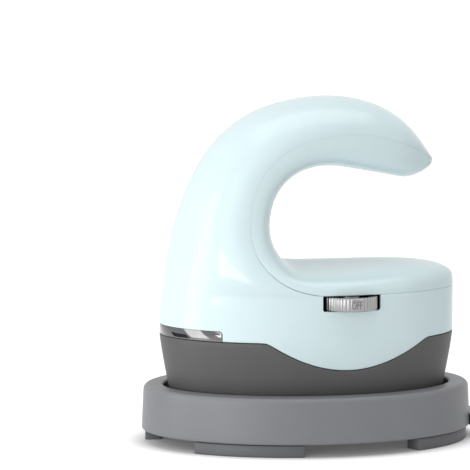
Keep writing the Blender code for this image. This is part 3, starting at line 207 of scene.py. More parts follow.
# Light
WORLD_LEVEL = 0.33
FLOOR_SIZE = 12.0
FLOOR_GREY = 0.86
FLOOR_ROUGHNESS = 0.9
# Floor glow by distance in tray outlines: low under and beside the tray, which paints shade on the floor
# there, and full white far out
FLOOR_GLOWS_WITH_PAINTED_SHADE = ((0.98, 0.08), (1.12, 0.42), (6.0, 0.55), (20.0, 0.80))
LIGHT_TARGET = (0, 0, 0.06)
LAMPS = (
    ("key_lamp", (-0.50, -0.66, 0.30), (0.50, 0.60), 1.42),
    ("side_lamp", (-0.21, -0.052, 0.090), (0.07, 0.17), 0.115),
    ("top_lamp", (0.0, -0.06, 0.80), (0.90, 0.60), 3.0),
    ("right_lamp", (0.65, -0.55, 0.30), (0.40, 0.40), 0.55),
    ("low_lamp", (-0.62, -0.68, 0.06), (0.50, 0.12), 1.15),
)
DARK_CARD_PLACE = (-0.21, 0.040)
DARK_CARD_LENGTH = 0.096
DARK_CARD_HEIGHT = 0.034
DARK_CARD_GREY = 0.25
DARK_CARD_ROUGHNESS = 1.0

# Colours
PALE_BLUE = (0.712, 0.860, 0.887)
DARK_GREY = (0.094, 0.093, 0.094)
TRAY_GREY = (0.206, 0.208, 0.223)
FOOT_GREY = (0.100, 0.102, 0.110)
DARK_CHROME = (0.168, 0.165, 0.168)
WHEEL_SILVER = (0.33, 0.325, 0.328)
PRINT_GREY = (0.17, 0.16, 0.17)
CREAM = (0.90, 0.84, 0.78)
CREAM_SPOT = (0.66, 0.58, 0.50)
BRONZE = (0.42, 0.35, 0.31)
STEEL = (0.56, 0.56, 0.57)
BRIGHT = (0.80, 0.80, 0.81)
RUBBER_BLACK = (0.025, 0.025, 0.026)
BOARD_GREEN = (0.02, 0.16, 0.07)
PART_BLACK = (0.03, 0.03, 0.032)
PART_BLUE = (0.03, 0.09, 0.34)
PART_CREAM = (0.70, 0.64, 0.52)
LEAD_RED = (0.42, 0.03, 0.02)
LEAD_WHITE = (0.75, 0.75, 0.72)
LENS = (0.80, 0.88, 0.88)

# Moulded: name, colour, roughness, grain size and height, spread of colour and of roughness, specular
MOULDED = {
    "skirt": ("skirt_matte", DARK_GREY, 0.50, 0.45 * MM, 0.010 * MM, 0.03, 0.05, 0.4),
    "tray": ("tray_satin", TRAY_GREY, 0.42, 0.60 * MM, 0.006 * MM, 0.02, 0.04, 0.5),
    "foot": ("foot_rubber", FOOT_GREY, 0.50, 0.70 * MM, 0.012 * MM, 0.03, 0.05, 0.6),
    "print": ("print_grey", PRINT_GREY, 0.60, 0.30 * MM, 0.002 * MM, 0.02, 0.04, 0.5),
    "liner": ("liner_black", RUBBER_BLACK, 0.80, 0.90 * MM, 0.030 * MM, 0.10, 0.08, 0.5),
    "rubber": ("bushing_rubber", RUBBER_BLACK, 0.60, 0.60 * MM, 0.010 * MM, 0.08, 0.06, 0.5),
    "board": ("board_mask", BOARD_GREEN, 0.35, 1.50 * MM, 0.004 * MM, 0.12, 0.05, 0.5),
    "black": ("part_black", PART_BLACK, 0.45, 0.50 * MM, 0.006 * MM, 0.08, 0.05, 0.5),
    "blue": ("part_blue", PART_BLUE, 0.35, 0.60 * MM, 0.004 * MM, 0.05, 0.04, 0.5),
    "cream": ("part_cream", PART_CREAM, 0.55, 0.60 * MM, 0.008 * MM, 0.04, 0.05, 0.5),
    "red": ("lead_red", LEAD_RED, 0.50, 0.50 * MM, 0.004 * MM, 0.05, 0.05, 0.5),
    "white": ("lead_white", LEAD_WHITE, 0.50, 0.50 * MM, 0.004 * MM, 0.04, 0.05, 0.5),
    "lens": ("lens_clear", LENS, 0.12, 0.80 * MM, 0.001 * MM, 0.02, 0.03, 0.5),
    "shell": ("shell_gloss", PALE_BLUE, 0.36, 1.10 * MM, 0.0016 * MM, 0.012, 0.03, 0.15),
}
PLAIN_SPECULAR = 0.5
SHELL_COAT_WEIGHT = 0.45
SHELL_COAT_ROUGHNESS = 0.03

# Metals: name, colour, roughness, stretch, grain size and height
ALONG_X = (40, 1, 1)
ALONG_Z = (1, 1, 40)
METALS = {
    "trim": ("trim_chrome", DARK_CHROME, 0.06, ALONG_Z, 0.80 * MM, 0.0005 * MM),
    "wheel": ("wheel_silver", WHEEL_SILVER, 0.30, ALONG_Z, 0.35 * MM, 0.003 * MM),
    "plate_edge": ("plate_edge", BRONZE, 0.30, ALONG_X, 0.40 * MM, 0.004 * MM),
    "steel": ("screw_steel", STEEL, 0.28, ALONG_X, 0.30 * MM, 0.003 * MM),
    "bright": ("bright_sheet", BRIGHT, 0.35, ALONG_X, 0.60 * MM, 0.004 * MM),
}
METAL_COLOUR_SPREAD = 0.06
METAL_ROUGHNESS_SPREAD = 0.2

# Cloudy variation of colour, fine grain, and the baked coating of the plate
CLOUD_SIZE = 14.0 * MM
CLOUD_STOPS = (0.3, 0.7)
CLOUD_DETAIL = 2.0
NOISE_DETAIL = 3.0
NOISE_ROUGHNESS = 0.5
GRAIN_DETAIL = 4.0
GRAIN_ROUGHNESS = 0.6
COAT_ROUGHNESS = 0.45
COAT_SPOT_SIZE = 0.5 * MM
COAT_SPOT_SHARE = 0.25
COAT_SPREAD = 0.03
COAT_GRAIN = 0.3 * MM
COAT_GRAIN_HEIGHT = 0.01 * MM

SHIFT = Vector((-TAB_REACH / 2, 0, 0))
END_TO_SIDE = PLATE_HALF_LENGTH - PLATE_HALF_WIDTH
BODY_HALF_WIDTH = BODY_HALF_LENGTH - END_TO_SIDE


def half_width(half_length):
    """Outlines keep the plate's distance between half length and half width."""
    return half_length - END_TO_SIDE


def body_half_length(level):
    drop = np.maximum(JOINT_LEVEL - level, 0) / (JOINT_LEVEL - SKIRT_BOTTOM)
    return BODY_HALF_LENGTH - BODY_TAPER * drop**TAPER_POWER


def joint_level(angles):
    """Height of the joint between shell and skirt round the outline."""
    reach = (BODY_HALF_LENGTH * np.cos(angles) - WAVE_CENTRE) / WAVE_HALF_SPAN
    dip = 1 - reach**2
    rounded = (dip + np.sqrt(dip**2 + WAVE_CORNER_SHARE**2)) / 2
    return JOINT_LEVEL - WAVE_DEPTH * rounded


def ring(half_length, level, angles):
    """Points of one elliptical ring. half_length and level are numbers, or one for each angle."""
    x = half_length * np.cos(angles)
    y = half_width(half_length) * np.sin(angles)
    return np.stack([x, y, level + 0 * angles], axis=-1)


def around(count):
    return 2 * math.pi * np.arange(count) / count


def link(obj):
    bpy.context.scene.collection.objects.link(obj)
    return obj


def smooth(mesh, angle=SMOOTH_ANGLE):
    """Smooth shading, but sharp edges where faces meet at more than the angle."""
    mesh.shade_smooth()
    mesh.set_sharp_from_angle(angle=math.radians(angle))


def mesh_object(name, points, faces, smooth_angle=SMOOTH_ANGLE):
    """A mesh from points in the press's own coordinates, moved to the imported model's origin."""
    mesh = bpy.data.meshes.new(name)
    mesh.from_pydata((np.asarray(points) + np.array(SHIFT)).tolist(), [], faces)
    bm = bmesh.new()
    bm.from_mesh(mesh)
    bmesh.ops.recalc_face_normals(bm, faces=bm.faces)
    bm.to_mesh(mesh)
    bm.free()
    smooth(mesh, smooth_angle)
    return link(bpy.data.objects.new(name, mesh))


def object_from(name, bm):
    mesh = bpy.data.meshes.new(name)
    bm.to_mesh(mesh)
    bm.free()
    return link(bpy.data.objects.new(name, mesh))


def apply_modifiers(obj):
    """Fixes the result of an object's modifiers in its mesh."""
    graph = bpy.context.evaluated_depsgraph_get()
    mesh = bpy.data.meshes.new_from_object(obj.evaluated_get(graph))
    obj.modifiers.clear()
    old = obj.data
    obj.data = mesh
    bpy.data.meshes.remove(old)
    smooth(mesh)


def cut(target, cutters, operation="DIFFERENCE"):
    for cutter in cutters:
        step = target.modifiers.new(cutter.name, "BOOLEAN")
        step.operation = operation
        step.object = cutter
        step.solver = "EXACT"
    bpy.context.view_layer.update()
    apply_modifiers(target)
    for cutter in cutters:
        bpy.data.objects.remove(cutter, do_unlink=True)


def grid_faces(index, closed):
    """Quads between the rows of an array of point numbers."""
    after = np.roll(index, -1, axis=1) if closed else index[:, 1:]
    before = index if closed else index[:, :-1]
    quads = np.stack([before[:-1], after[:-1], after[1:], before[1:]], axis=-1)
    return quads.reshape(-1, 4).tolist()


def fan_faces(row, point):
    """Triangles from a row of point numbers to one point."""
    return [[int(a), int(b), int(point)] for a, b in zip(row[:-1], row[1:])]


def ring_numbers(rows):
    """Point numbers of a stack of rings, one row for each, and the first ring again at the end."""
    index = np.arange(len(rows) * len(rows[0])).reshape(len(rows), -1)
    return np.concatenate([index, index[:1]])


def lathe(name, rows, smooth_angle=SMOOTH_ANGLE):
    """Rings of points, one after the other, joined to a tube that closes on itself."""
    return mesh_object(name, np.concatenate(rows), grid_faces(ring_numbers(rows), True), smooth_angle)


def thick_skin(name, outer, inner, faces, rims):
    """A skin with a wall: outside, inside, and rims between them with a rounded outer edge.

    rims holds, for each open edge, the point numbers along it, those one step in from it, and
    the edge's rounding.
    """
    count = len(outer)
    outside = outer.copy()
    extra = []
    total = 2 * count
    skin = [list(face) for face in faces]
    skin += [[point + count for point in reversed(face)] for face in faces]
    for edge, behind, rounding in rims:
        edge = np.asarray(edge)
        out = outer[edge]
        run = out - outer[np.asarray(behind)]
        length = np.linalg.norm(run, axis=1, keepdims=True)
        run = run / np.maximum(length, LEAST_LENGTH)
        into = inner[edge] - out
        depth = np.linalg.norm(into, axis=1, keepdims=True)
        into = into / np.maximum(depth, LEAST_LENGTH)
        rounding = np.broadcast_to(rounding, len(edge))[:, None]
        largest = np.minimum(length * LENGTH_ROUND_SHARE, depth * WALL_ROUND_SHARE)
        radius = np.minimum(rounding, largest)
        outside[edge] = out - run * radius
        rows = [edge]
        for step in range(1, EDGE_STEPS + 1):
            turn = math.pi / 2 * step / EDGE_STEPS
            back = run * radius * (1 - math.sin(turn))
            extra.append(out - back + into * radius * (1 - math.cos(turn)))
            rows.append(np.arange(total, total + len(edge)))
            total += len(edge)
        rows.append(edge + count)
        skin += grid_faces(np.stack(rows), True)
    points = np.concatenate([outside, inner, *extra])
    return mesh_object(name, points, skin)


def spline(values, read):
    """Natural cubic spline through the rows of values, read at fractional row numbers."""
    rows = len(values)
    matrix = np.zeros((rows, rows))
    right = np.zeros(values.shape)
    matrix[0, :2] = 2, 1
    matrix[-1, -2:] = 1, 2
    right[0] = 3 * (values[1] - values[0])
    right[-1] = 3 * (values[-1] - values[-2])
    for row in range(1, rows - 1):
        matrix[row, row - 1 : row + 2] = 1, 4, 1
        right[row] = 3 * (values[row + 1] - values[row - 1])
    slopes = np.linalg.solve(matrix, right)
    low = np.minimum(read.astype(int), rows - 2)
    part = (read - low)[:, None]
    rest = 1 - part
    start = values[low] * (1 + 2 * part) * rest**2 + slopes[low] * part * rest**2
    end = values[low + 1] * (3 - 2 * part) * part**2 - slopes[low + 1] * rest * part**2
    return start + end


def deck_height(x, half_length, rise):
    share = np.clip(x / half_length, 0, 1)
    sag = DECK_SAG * (1 - share**2) ** 2
    return rise * (1 - share**DECK_NOSE_POWER) ** (1 / DECK_NOSE_POWER) - sag


def deck_rows(turns, inset):
    """Stations of the deck, from a quarter turn at the nose to 0 at its root."""
    reach = BODY_HALF_LENGTH - inset
    x = reach * np.sin(turns)
    across = half_width(reach) * np.cos(turns)
    crest_x = x + VALLEY_SHIFT * (1 - np.sin(turns))
    crest_z = SEAM_LEVEL + deck_height(x, reach, DECK_RISE - inset)
    level = np.full_like(x, SEAM_LEVEL)
    rear = np.full_like(x, -BODY_HALF_LENGTH)
    return np.stack([x, level, across, rear, level, crest_x, crest_z], axis=1)


def station_rows():
    """The handle's stations, after a guide and a root that lead over from the deck."""
    guide = deck_rows(np.array([math.asin(GUIDE_SHARE)]), 0)[0]
    guide[OUTER_LEVEL] = (SEAM_LEVEL + JOINT_LEVEL) / 2
    root = deck_rows(np.array([0.0]), 0)[0]
    root[OUTER_X] = REAR_LEAN - BODY_HALF_LENGTH
    shares = np.array(STATION_SHARES)
    place_scale = [BODY_HALF_LENGTH, HANDLE_RISE]
    place_start = [0, SEAM_LEVEL]
    scale = np.array(place_scale + [BODY_HALF_WIDTH] + place_scale * 2)
    start = np.array(place_start + [0] + place_start * 2)
    return np.vstack([guide, root, shares * scale + start])


STATION_ROWS = station_rows()
FIRST_STATION = 1.0
LAST_STATION = len(STATION_ROWS) - 1.0


def handle_stations(last):
    """Stations of the handle and the direction square to the seam at each."""
    read = np.linspace(FIRST_STATION, last, HANDLE_STEPS + 1)
    ahead = spline(STATION_ROWS, np.minimum(read + STATION_NUDGE_SHARE, LAST_STATION))
    run = ahead - spline(STATION_ROWS, read - STATION_NUDGE_SHARE)
    run = run[:, :2] / np.linalg.norm(run[:, :2], axis=1, keepdims=True)
    normals = np.stack([run[:, 1], -run[:, 0]], axis=1)
    normals[0] = 0, -1
    return spline(STATION_ROWS, read), normals


def handle_shares():
    return np.arange(HANDLE_STEPS + 1) / HANDLE_STEPS


def handle_gaps():
    """The seam closes up from the deck's root towards the arm."""
    return np.interp(handle_shares(), (0, SEAM_CLOSE_SHARE), (SEAM_GAP, ARM_SEAM_GAP))


def handle_rounds():
    """The edges' rounding along the handle, in step with the seam's gap."""
    return EDGE_ROUND * handle_gaps()[1:-1] / SEAM_GAP


def sections(rows, normals, side, inset, fade, powers, gaps):
    """Points of every station from the near seam over the crest to the far seam."""
    seam = rows[:, :2] - normals * side * gaps[:, None] / 2
    crest = rows[:, OUTER_CREST if side > 0 else INNER_CREST]
    depth = crest - seam
    length = np.linalg.norm(depth, axis=1, keepdims=True)
    least = LEAST_CAVITY_SHARE if inset else 0
    kept = np.maximum(length - inset, length * least) / np.maximum(length, LEAST_LENGTH)
    depth = depth * kept * fade[:, None]
    across = np.maximum(rows[:, 2] - inset, rows[:, 2] * least) * fade
    angles = math.pi * (np.arange(HALF_AROUND + 1) / HALF_AROUND - 0.5)
    power = (2 / powers)[:, None]
    forward = np.clip(np.cos(angles), 0, 1)[None, :] ** power
    forward[:, [0, -1]] = 0
    sideways = np.sign(np.sin(angles)) * np.abs(np.sin(angles))[None, :] ** power
    x = seam[:, 0, None] + depth[:, 0, None] * forward
    z = seam[:, 1, None] + depth[:, 1, None] * forward
    return np.stack([x, across[:, None] * sideways, z], axis=-1)


def end_fade(inset):
    ends = 1 - handle_shares() ** CAVITY_END_POWER
    return np.sqrt(np.clip(ends, 0, 1)) if inset else np.ones(HANDLE_STEPS + 1)


def cavity_end(inset):
    """The wall's inside stops short of the tip, to leave solid material there."""
    return FIRST_STATION + (LAST_STATION - FIRST_STATION) * (TIP_CAVITY_SHARE if inset else 1)


def shell_points(inset):
    """Full loops round the body, then sections to the tip, as one array of points."""
    steps = np.arange(2 * HALF_AROUND)
    angles = math.pi * (steps / HALF_AROUND + 0.5)
    turn = math.pi * (steps / HALF_AROUND - 0.5)
    low = joint_level(angles) + PIECE_GAP / 2
    top = SEAM_LEVEL - SEAM_GAP / 2
    loops = []
    for step in range(LOOP_STEPS + 1):
        share = step / LOOP_STEPS
        level = low + (top - low) * share
        reach = body_half_length(level) - inset
        lean = REAR_LEAN * share**REAR_LEAN_POWER
        along = np.where(steps <= HALF_AROUND, np.minimum(reach, BODY_HALF_LENGTH - lean - inset), reach)
        loops.append(np.stack([-along * np.cos(turn), half_width(reach) * np.sin(turn), level], axis=1))
    rows, normals = handle_stations(cavity_end(inset))
    bump = np.sin(math.pi * np.minimum(handle_shares() / SHOULDER_END_SHARE, 1))
    powers = OUTER_ROUND_POWER + (SHOULDER_ROUND_POWER - OUTER_ROUND_POWER) * bump
    stations = sections(rows, normals, 1, inset, end_fade(inset), powers, handle_gaps())
    tip = (stations[-1, :1] + stations[-1, -1:]) / 2
    return np.concatenate([*loops, stations[1:-1].reshape(-1, 3), tip])


def box_object(name, low, high, round_size, axis):
    """A block whose edges along one axis are rounded."""
    bm = bmesh.new()
    size = Vector(high) - Vector(low)
    middle = (Vector(high) + Vector(low)) / 2 + SHIFT
    bmesh.ops.create_cube(bm, size=1.0, matrix=Matrix.Translation(middle) @ Matrix.Diagonal((*size, 1)))
    bmesh.ops.bevel(
        bm,
        geom=[edge for edge in bm.edges if is_along(edge, axis)],
        offset=round_size,
        segments=BLOCK_ROUND_STEPS,
        profile=ROUND_PROFILE,
        affect="EDGES",
    )
    return object_from(name, bm)


def is_along(edge, axis):
    run = edge.verts[1].co - edge.verts[0].co
    return abs(run[axis]) > STRAIGHT_SHARE * run.length


def window_block():
    low = (WINDOW_CENTRE - WINDOW_WIDTH / 2, -BODY_HALF_WIDTH - OVERRUN, SEAM_LEVEL - WINDOW_HEIGHT)
    high = (WINDOW_CENTRE + WINDOW_WIDTH / 2, WHEEL_Y, SEAM_LEVEL + OVERRUN)
    return box_object("window_block", low, high, WINDOW_ROUND, 1)


def trim_block(inset):
    low = (-BODY_HALF_LENGTH - OVERRUN, -BODY_HALF_WIDTH - OVERRUN, JOINT_LEVEL - OVERRUN)
    high = (-TRIM_END_X - inset, BODY_HALF_WIDTH + OVERRUN, JOINT_LEVEL + TRIM_HEIGHT - inset)
    return box_object("trim_block", low, high, TRIM_CORNER, 1)


def bushing_block():
    """A round punch for the cord's opening, low on the far side of the rear end."""
    angle = math.radians(BUSHING_ANGLE)
    place = Vector(ring(BODY_HALF_LENGTH, BUSHING_LEVEL, np.array([angle]))[0])
    out = Vector((math.cos(angle) / BODY_HALF_LENGTH, math.sin(angle) / BODY_HALF_WIDTH, 0)).normalized()
    bm = bmesh.new()
    turn = Vector((0, 0, 1)).rotation_difference(out).to_matrix().to_4x4()
    radius = BUSHING_RADIUS + PIECE_GAP / 2
    bmesh.ops.create_cone(
        bm,
        cap_ends=True,
        segments=PUNCH_SIDES,
        radius1=radius,
        radius2=radius,
        depth=2 * OVERRUN,
        matrix=Matrix.Translation(place + SHIFT) @ turn,
    )
    return object_from("bushing_block", bm)


def light_block():
    half = Vector((OVERRUN, LIGHT_WIDTH / 2 + PIECE_GAP / 2, LIGHT_HEIGHT / 2 + PIECE_GAP / 2))
    middle = Vector((BODY_HALF_LENGTH, 0, LIGHT_LEVEL))
    return box_object("light_block", middle - half, middle + half, LIGHT_HEIGHT * LIGHT_ROUND_SHARE, 0)


def along_seam(loop, rows, column, end):
    """Point numbers round the shell's seam, or those some columns in from it."""
    far = rows[1:, -1 - column][::-1]
    return np.concatenate([loop[HALF_AROUND:], loop[:1], rows[1:, column], end, far])


def make_shell():
    count = 2 * HALF_AROUND
    loops = np.arange((LOOP_STEPS + 1) * count).reshape(LOOP_STEPS + 1, count)
    start = loops.size
    stations = start + np.arange((HANDLE_STEPS - 1) * (HALF_AROUND + 1)).reshape(HANDLE_STEPS - 1, -1)
    tip = start + stations.size
    rows = np.vstack([loops[-1, : HALF_AROUND + 1], stations])
    faces = grid_faces(loops, True) + grid_faces(rows, False) + fan_faces(rows[-1], tip)
    seam = along_seam(loops[-1], rows, 0, [tip])
    behind = along_seam(loops[-2], rows, 1, rows[-1:, HALF_AROUND // 2])
    rounds = handle_rounds()
    plain = np.full(HALF_AROUND + 1, EDGE_ROUND)
    rounding = np.concatenate([plain, rounds, rounds[-1:], rounds[::-1]])
    rims = [(loops[0], loops[1], EDGE_ROUND), (seam, behind, rounding)]
    shell = thick_skin("shell_skin", shell_points(0), shell_points(SHELL_WALL), faces, rims)
    cut(shell, [window_block(), trim_block(0), bushing_block(), light_block()])
    return shell


def cover_points(inset):
    turns = math.pi / 2 * (1 - np.arange(DECK_STEPS + 1) / DECK_STEPS)
    rows = deck_rows(turns, inset)
    down = np.tile([0.0, -1.0], (len(rows), 1))
    plain = np.ones(len(rows))
    deck = sections(rows, down, -1, 0, plain, plain * DECK_ROUND_POWER, plain * SEAM_GAP)
    nose = (deck[0, :1] + deck[0, -1:]) / 2
    rows, normals = handle_stations(cavity_end(inset))
    blend = np.minimum(handle_shares() / ARM_BLEND_SHARE, 1)
    powers = DECK_ROUND_POWER + (ARM_ROUND_POWER - DECK_ROUND_POWER) * blend
    stations = sections(rows, normals, -1, inset, end_fade(inset), powers, handle_gaps())
    tip = (stations[-1, :1] + stations[-1, -1:]) / 2
    return np.concatenate([nose, deck[1:].reshape(-1, 3), stations[1:-1].reshape(-1, 3), tip])


def make_cover():
    width = HALF_AROUND + 1
    grid = 1 + np.arange((DECK_STEPS + HANDLE_STEPS - 1) * width).reshape(-1, width)
    tip = 1 + grid.size
    faces = fan_faces(grid[0], 0) + grid_faces(grid, False) + fan_faces(grid[-1], tip)
    middle = HALF_AROUND // 2
    edge = np.concatenate([[0], grid[:, 0], [tip], grid[:, -1][::-1]])
    behind = np.concatenate([[grid[0, middle]], grid[:, 1], [grid[-1, middle]], grid[:, -2][::-1]])
    side = np.concatenate([np.full(DECK_STEPS, EDGE_ROUND), handle_rounds()])
    rounding = np.concatenate([[EDGE_ROUND], side, side[-1:], side[::-1]])
    rims = [(edge, behind, rounding)]
    return thick_skin("cover_skin", cover_points(0), cover_points(SHELL_WALL), faces, rims)


def edge_rings(flat, side, angles):
    """Rings round a small rounding, from the wall to the edge's flat. side is 1 at a lower edge."""
    rings = []
    for turn in np.linspace(0, math.pi / 2, EDGE_STEPS + 1):
        level = flat + side * EDGE_ROUND * (1 - math.sin(turn))
        reach = body_half_length(level) - EDGE_ROUND * (1 - math.cos(turn))
        rings.append(ring(reach, level, angles))
    return rings


def make_skirt():
    """Dark lower housing, with the lip that its upper edge carries behind the shell."""
    angles = around(AROUND)
    top = joint_level(angles) - PIECE_GAP / 2
    edge = SHELL_WALL + PIECE_GAP
    rows = [ring(body_half_length(FLOOR_BOTTOM) - SKIRT_WALL, FLOOR_BOTTOM, angles)]
    rows.append(ring(body_half_length(SKIRT_BOTTOM) - SKIRT_WALL, SKIRT_BOTTOM, angles))
    rows += reversed(edge_rings(SKIRT_BOTTOM, 1, angles))
    for share in np.linspace(0, 1, SKIRT_STEPS + 1)[1:-1]:
        level = SKIRT_BOTTOM + (top - SKIRT_BOTTOM) * share
        rows.append(ring(body_half_length(level), level, angles))
    rows += edge_rings(top, -1, angles)
    rows.append(ring(body_half_length(top) - edge, top, angles))
    rows.append(ring(body_half_length(top) - edge, joint_level(angles) + LIP_HEIGHT, angles))
    rows.append(ring(body_half_length(top) - 2 * edge, joint_level(angles) + LIP_HEIGHT, angles))
    rows.append(ring(body_half_length(FLOOR_BOTTOM) - 2 * edge, FLOOR_BOTTOM, angles))
    return lathe("skirt_skin", rows)


def tray_half_length(level):
    share = (TRAY_RIM_TOP - level) / (TRAY_RIM_TOP - FOOT_HEIGHT)
    return TRAY_HALF_LENGTH - TRAY_FLARE * (1 - share)


def fillet(centre_reach, centre_level, radius, start, end):
    """(half length, level) pairs round a small arc."""
    turns = np.radians(np.linspace(start, end, RIM_STEPS + 1))
    return [(centre_reach + radius * math.cos(t), centre_level + radius * math.sin(t)) for t in turns]


def make_tray():
    opening = TRAY_OPENING
    outer = TRAY_HALF_LENGTH
    inner_round = TRAY_INNER_ROUND
    channel_top = TRAY_RIM_TOP - TRAY_WALL
    rim = TRAY_RIM_TOP - TRAY_RIM_ROUND
    profile = [(opening / 2, TRAY_FLOOR_TOP - TRAY_FLOOR_THICKNESS), (opening / 2, TRAY_FLOOR_TOP)]
    profile += [(opening - EDGE_ROUND, TRAY_FLOOR_TOP), (opening, TRAY_FLOOR_TOP + EDGE_ROUND)]
    profile += fillet(opening + inner_round, TRAY_RIM_TOP - inner_round, inner_round, INWARD, UPWARD)
    profile += fillet(tray_half_length(rim) - TRAY_RIM_ROUND, rim, TRAY_RIM_ROUND, UPWARD, OUTWARD)
    steps = np.linspace(rim, FOOT_HEIGHT + TRAY_FOOT_ROUND, TRAY_WALL_STEPS + 1)[1:-1]
    profile += [(tray_half_length(level), level) for level in steps]
    foot_level = FOOT_HEIGHT + TRAY_FOOT_ROUND
    foot_reach = tray_half_length(foot_level) - TRAY_FOOT_ROUND
    profile += fillet(foot_reach, foot_level, TRAY_FOOT_ROUND, OUTWARD, DOWNWARD)
    profile += [
        (outer - TRAY_WALL, FOOT_HEIGHT),
        (tray_half_length(channel_top) - TRAY_WALL, channel_top),
        (opening + TRAY_WALL, channel_top),
        (opening + TRAY_WALL, FOOT_HEIGHT),
        (opening, FOOT_HEIGHT),
        (opening, TRAY_FLOOR_TOP - TRAY_FLOOR_THICKNESS),
    ]
    angles = around(AROUND)
    rows = [ring(reach, level, angles) for reach, level in profile]
    numbers = ring_numbers(rows)
    faces = grid_faces(numbers[1:], True) + numbers[:2].tolist()
    tray = mesh_object("tray_skin", np.concatenate(rows), faces)
    low = (outer - TRAY_WALL / 2, -TAB_HALF_WIDTH, FOOT_HEIGHT)
    high = (outer + TAB_REACH, TAB_HALF_WIDTH, FOOT_HEIGHT + TAB_HEIGHT)
    cut(tray, [box_object("tab_block", low, high, TAB_ROUND, 2)], "UNION")
    return tray


def arc_band(name, profile, start, end, steps):
    """A closed (half length, level) profile swept along part of the ellipse, with flat ends."""
    angles = np.linspace(start, end, steps + 1)
    points = np.concatenate([ring(reach, level, angles)[None] for reach, level in profile])
    points = points.transpose(1, 0, 2)
    index = np.arange(points.shape[0] * points.shape[1]).reshape(points.shape[:2])
    faces = grid_faces(index, True) + [index[0].tolist(), index[-1].tolist()]
    return mesh_object(name, points.reshape(-1, 3), faces)


def make_foot(name, start, end):
    outside = TRAY_HALF_LENGTH - FOOT_INSET
    inside = TRAY_OPENING + FOOT_INNER_INSET
    top = FOOT_HEIGHT - PIECE_GAP
    profile = [(outside, top)]
    profile += fillet(outside - FOOT_EDGE, FOOT_EDGE, FOOT_EDGE, OUTWARD, DOWNWARD)
    profile += fillet(inside + FOOT_EDGE, FOOT_EDGE, FOOT_EDGE, DOWNWARD, -INWARD)
    profile += [(inside, top)]
    steps = round((end - start) * AROUND)
    foot = arc_band(name + "_skin", profile, 2 * math.pi * start, 2 * math.pi * end, steps)
    soften_edges(foot, FOOT_END_EDGE)
    return foot


def soften_edges(obj, width):
    """A small rounded edge wherever two faces meet sharply."""
    step = obj.modifiers.new("rounded_edges", "BEVEL")
    step.width = width
    step.segments = EDGE_STEPS
    step.limit_method = "ANGLE"
    step.angle_limit = math.radians(SHARP_ANGLE)
    step.harden_normals = True
    bpy.context.view_layer.update()
    apply_modifiers(obj)


def make_trim():
    sweep = math.pi - math.acos(TRIM_END_X / BODY_HALF_LENGTH)
    over = math.radians(TRIM_OVERSWEEP)
    outside = BODY_HALF_LENGTH - TRIM_INSET
    inside = BODY_HALF_LENGTH - SHELL_WALL
    profile = ((outside, JOINT_LEVEL + PIECE_GAP / 2), (outside, JOINT_LEVEL + 2 * TRIM_HEIGHT))
    profile += ((inside, JOINT_LEVEL + 2 * TRIM_HEIGHT), (inside, JOINT_LEVEL + PIECE_GAP / 2))
    trim = arc_band("trim_skin", profile, sweep - over, 2 * math.pi - sweep + over, HALF_AROUND)
    cut(trim, [trim_block(SEAM_GAP)], "INTERSECT")
    soften_edges(trim, EDGE_ROUND / 2)
    return trim


def wheel_radii(angles):
    """Rounded ridges round the wheel, fading out to a plain patch under the lettering."""
    middle = math.radians(LABEL_TURN) - math.pi / 2
    away = np.abs((angles - middle + math.pi) % (2 * math.pi) - math.pi)
    share = away / math.radians(LABEL_HALF_SPAN)
    patch = np.clip((share - LABEL_PATCH_SHARE) / (1 - LABEL_PATCH_SHARE), 0, 1)
    groove = (1 - np.cos(angles * WHEEL_RIDGES)) / 2
    return WHEEL_RADIUS - WHEEL_RIDGE * (patch * groove**2 + LABEL_PATCH_DEPTH_SHARE * (1 - patch))


def make_wheel():
    angles = around(WHEEL_RIDGES * WHEEL_SIDES_PER_RIDGE)
    radii = wheel_radii(angles)
    top = WHEEL_BOTTOM + WHEEL_THICKNESS
    bore = np.full_like(angles, WHEEL_BORE)
    rows = []

    def add(radius, level):
        x = WINDOW_CENTRE + radius * np.cos(angles)
        y = WHEEL_Y + radius * np.sin(angles)
        rows.append(np.stack([x, y, np.full_like(angles, level)], axis=1))

    dish = WHEEL_RADIUS - WHEEL_DISH_WIDTH
    add(bore, WHEEL_BOTTOM)
    add(np.full_like(angles, dish), WHEEL_BOTTOM)
    for turn in np.linspace(-math.pi / 2, 0, EDGE_STEPS + 1):
        add(
            radii - WHEEL_EDGE * (1 - math.cos(turn)),
            WHEEL_BOTTOM + WHEEL_EDGE * (1 + math.sin(turn)),
        )
    for turn in np.linspace(0, math.pi / 2, EDGE_STEPS + 1):
        add(radii - WHEEL_EDGE * (1 - math.cos(turn)), top - WHEEL_EDGE * (1 - math.sin(turn)))
    add(np.full_like(angles, dish), top)
    add(np.full_like(angles, dish - WHEEL_EDGE), top - WHEEL_EDGE)
    hub = np.full_like(angles, WHEEL_HUB)
    add(hub, top - WHEEL_EDGE)
    add(hub, top)
    add(bore, top)
    return lathe("wheel_skin", rows, smooth_angle=WHEEL_SMOOTH_ANGLE)


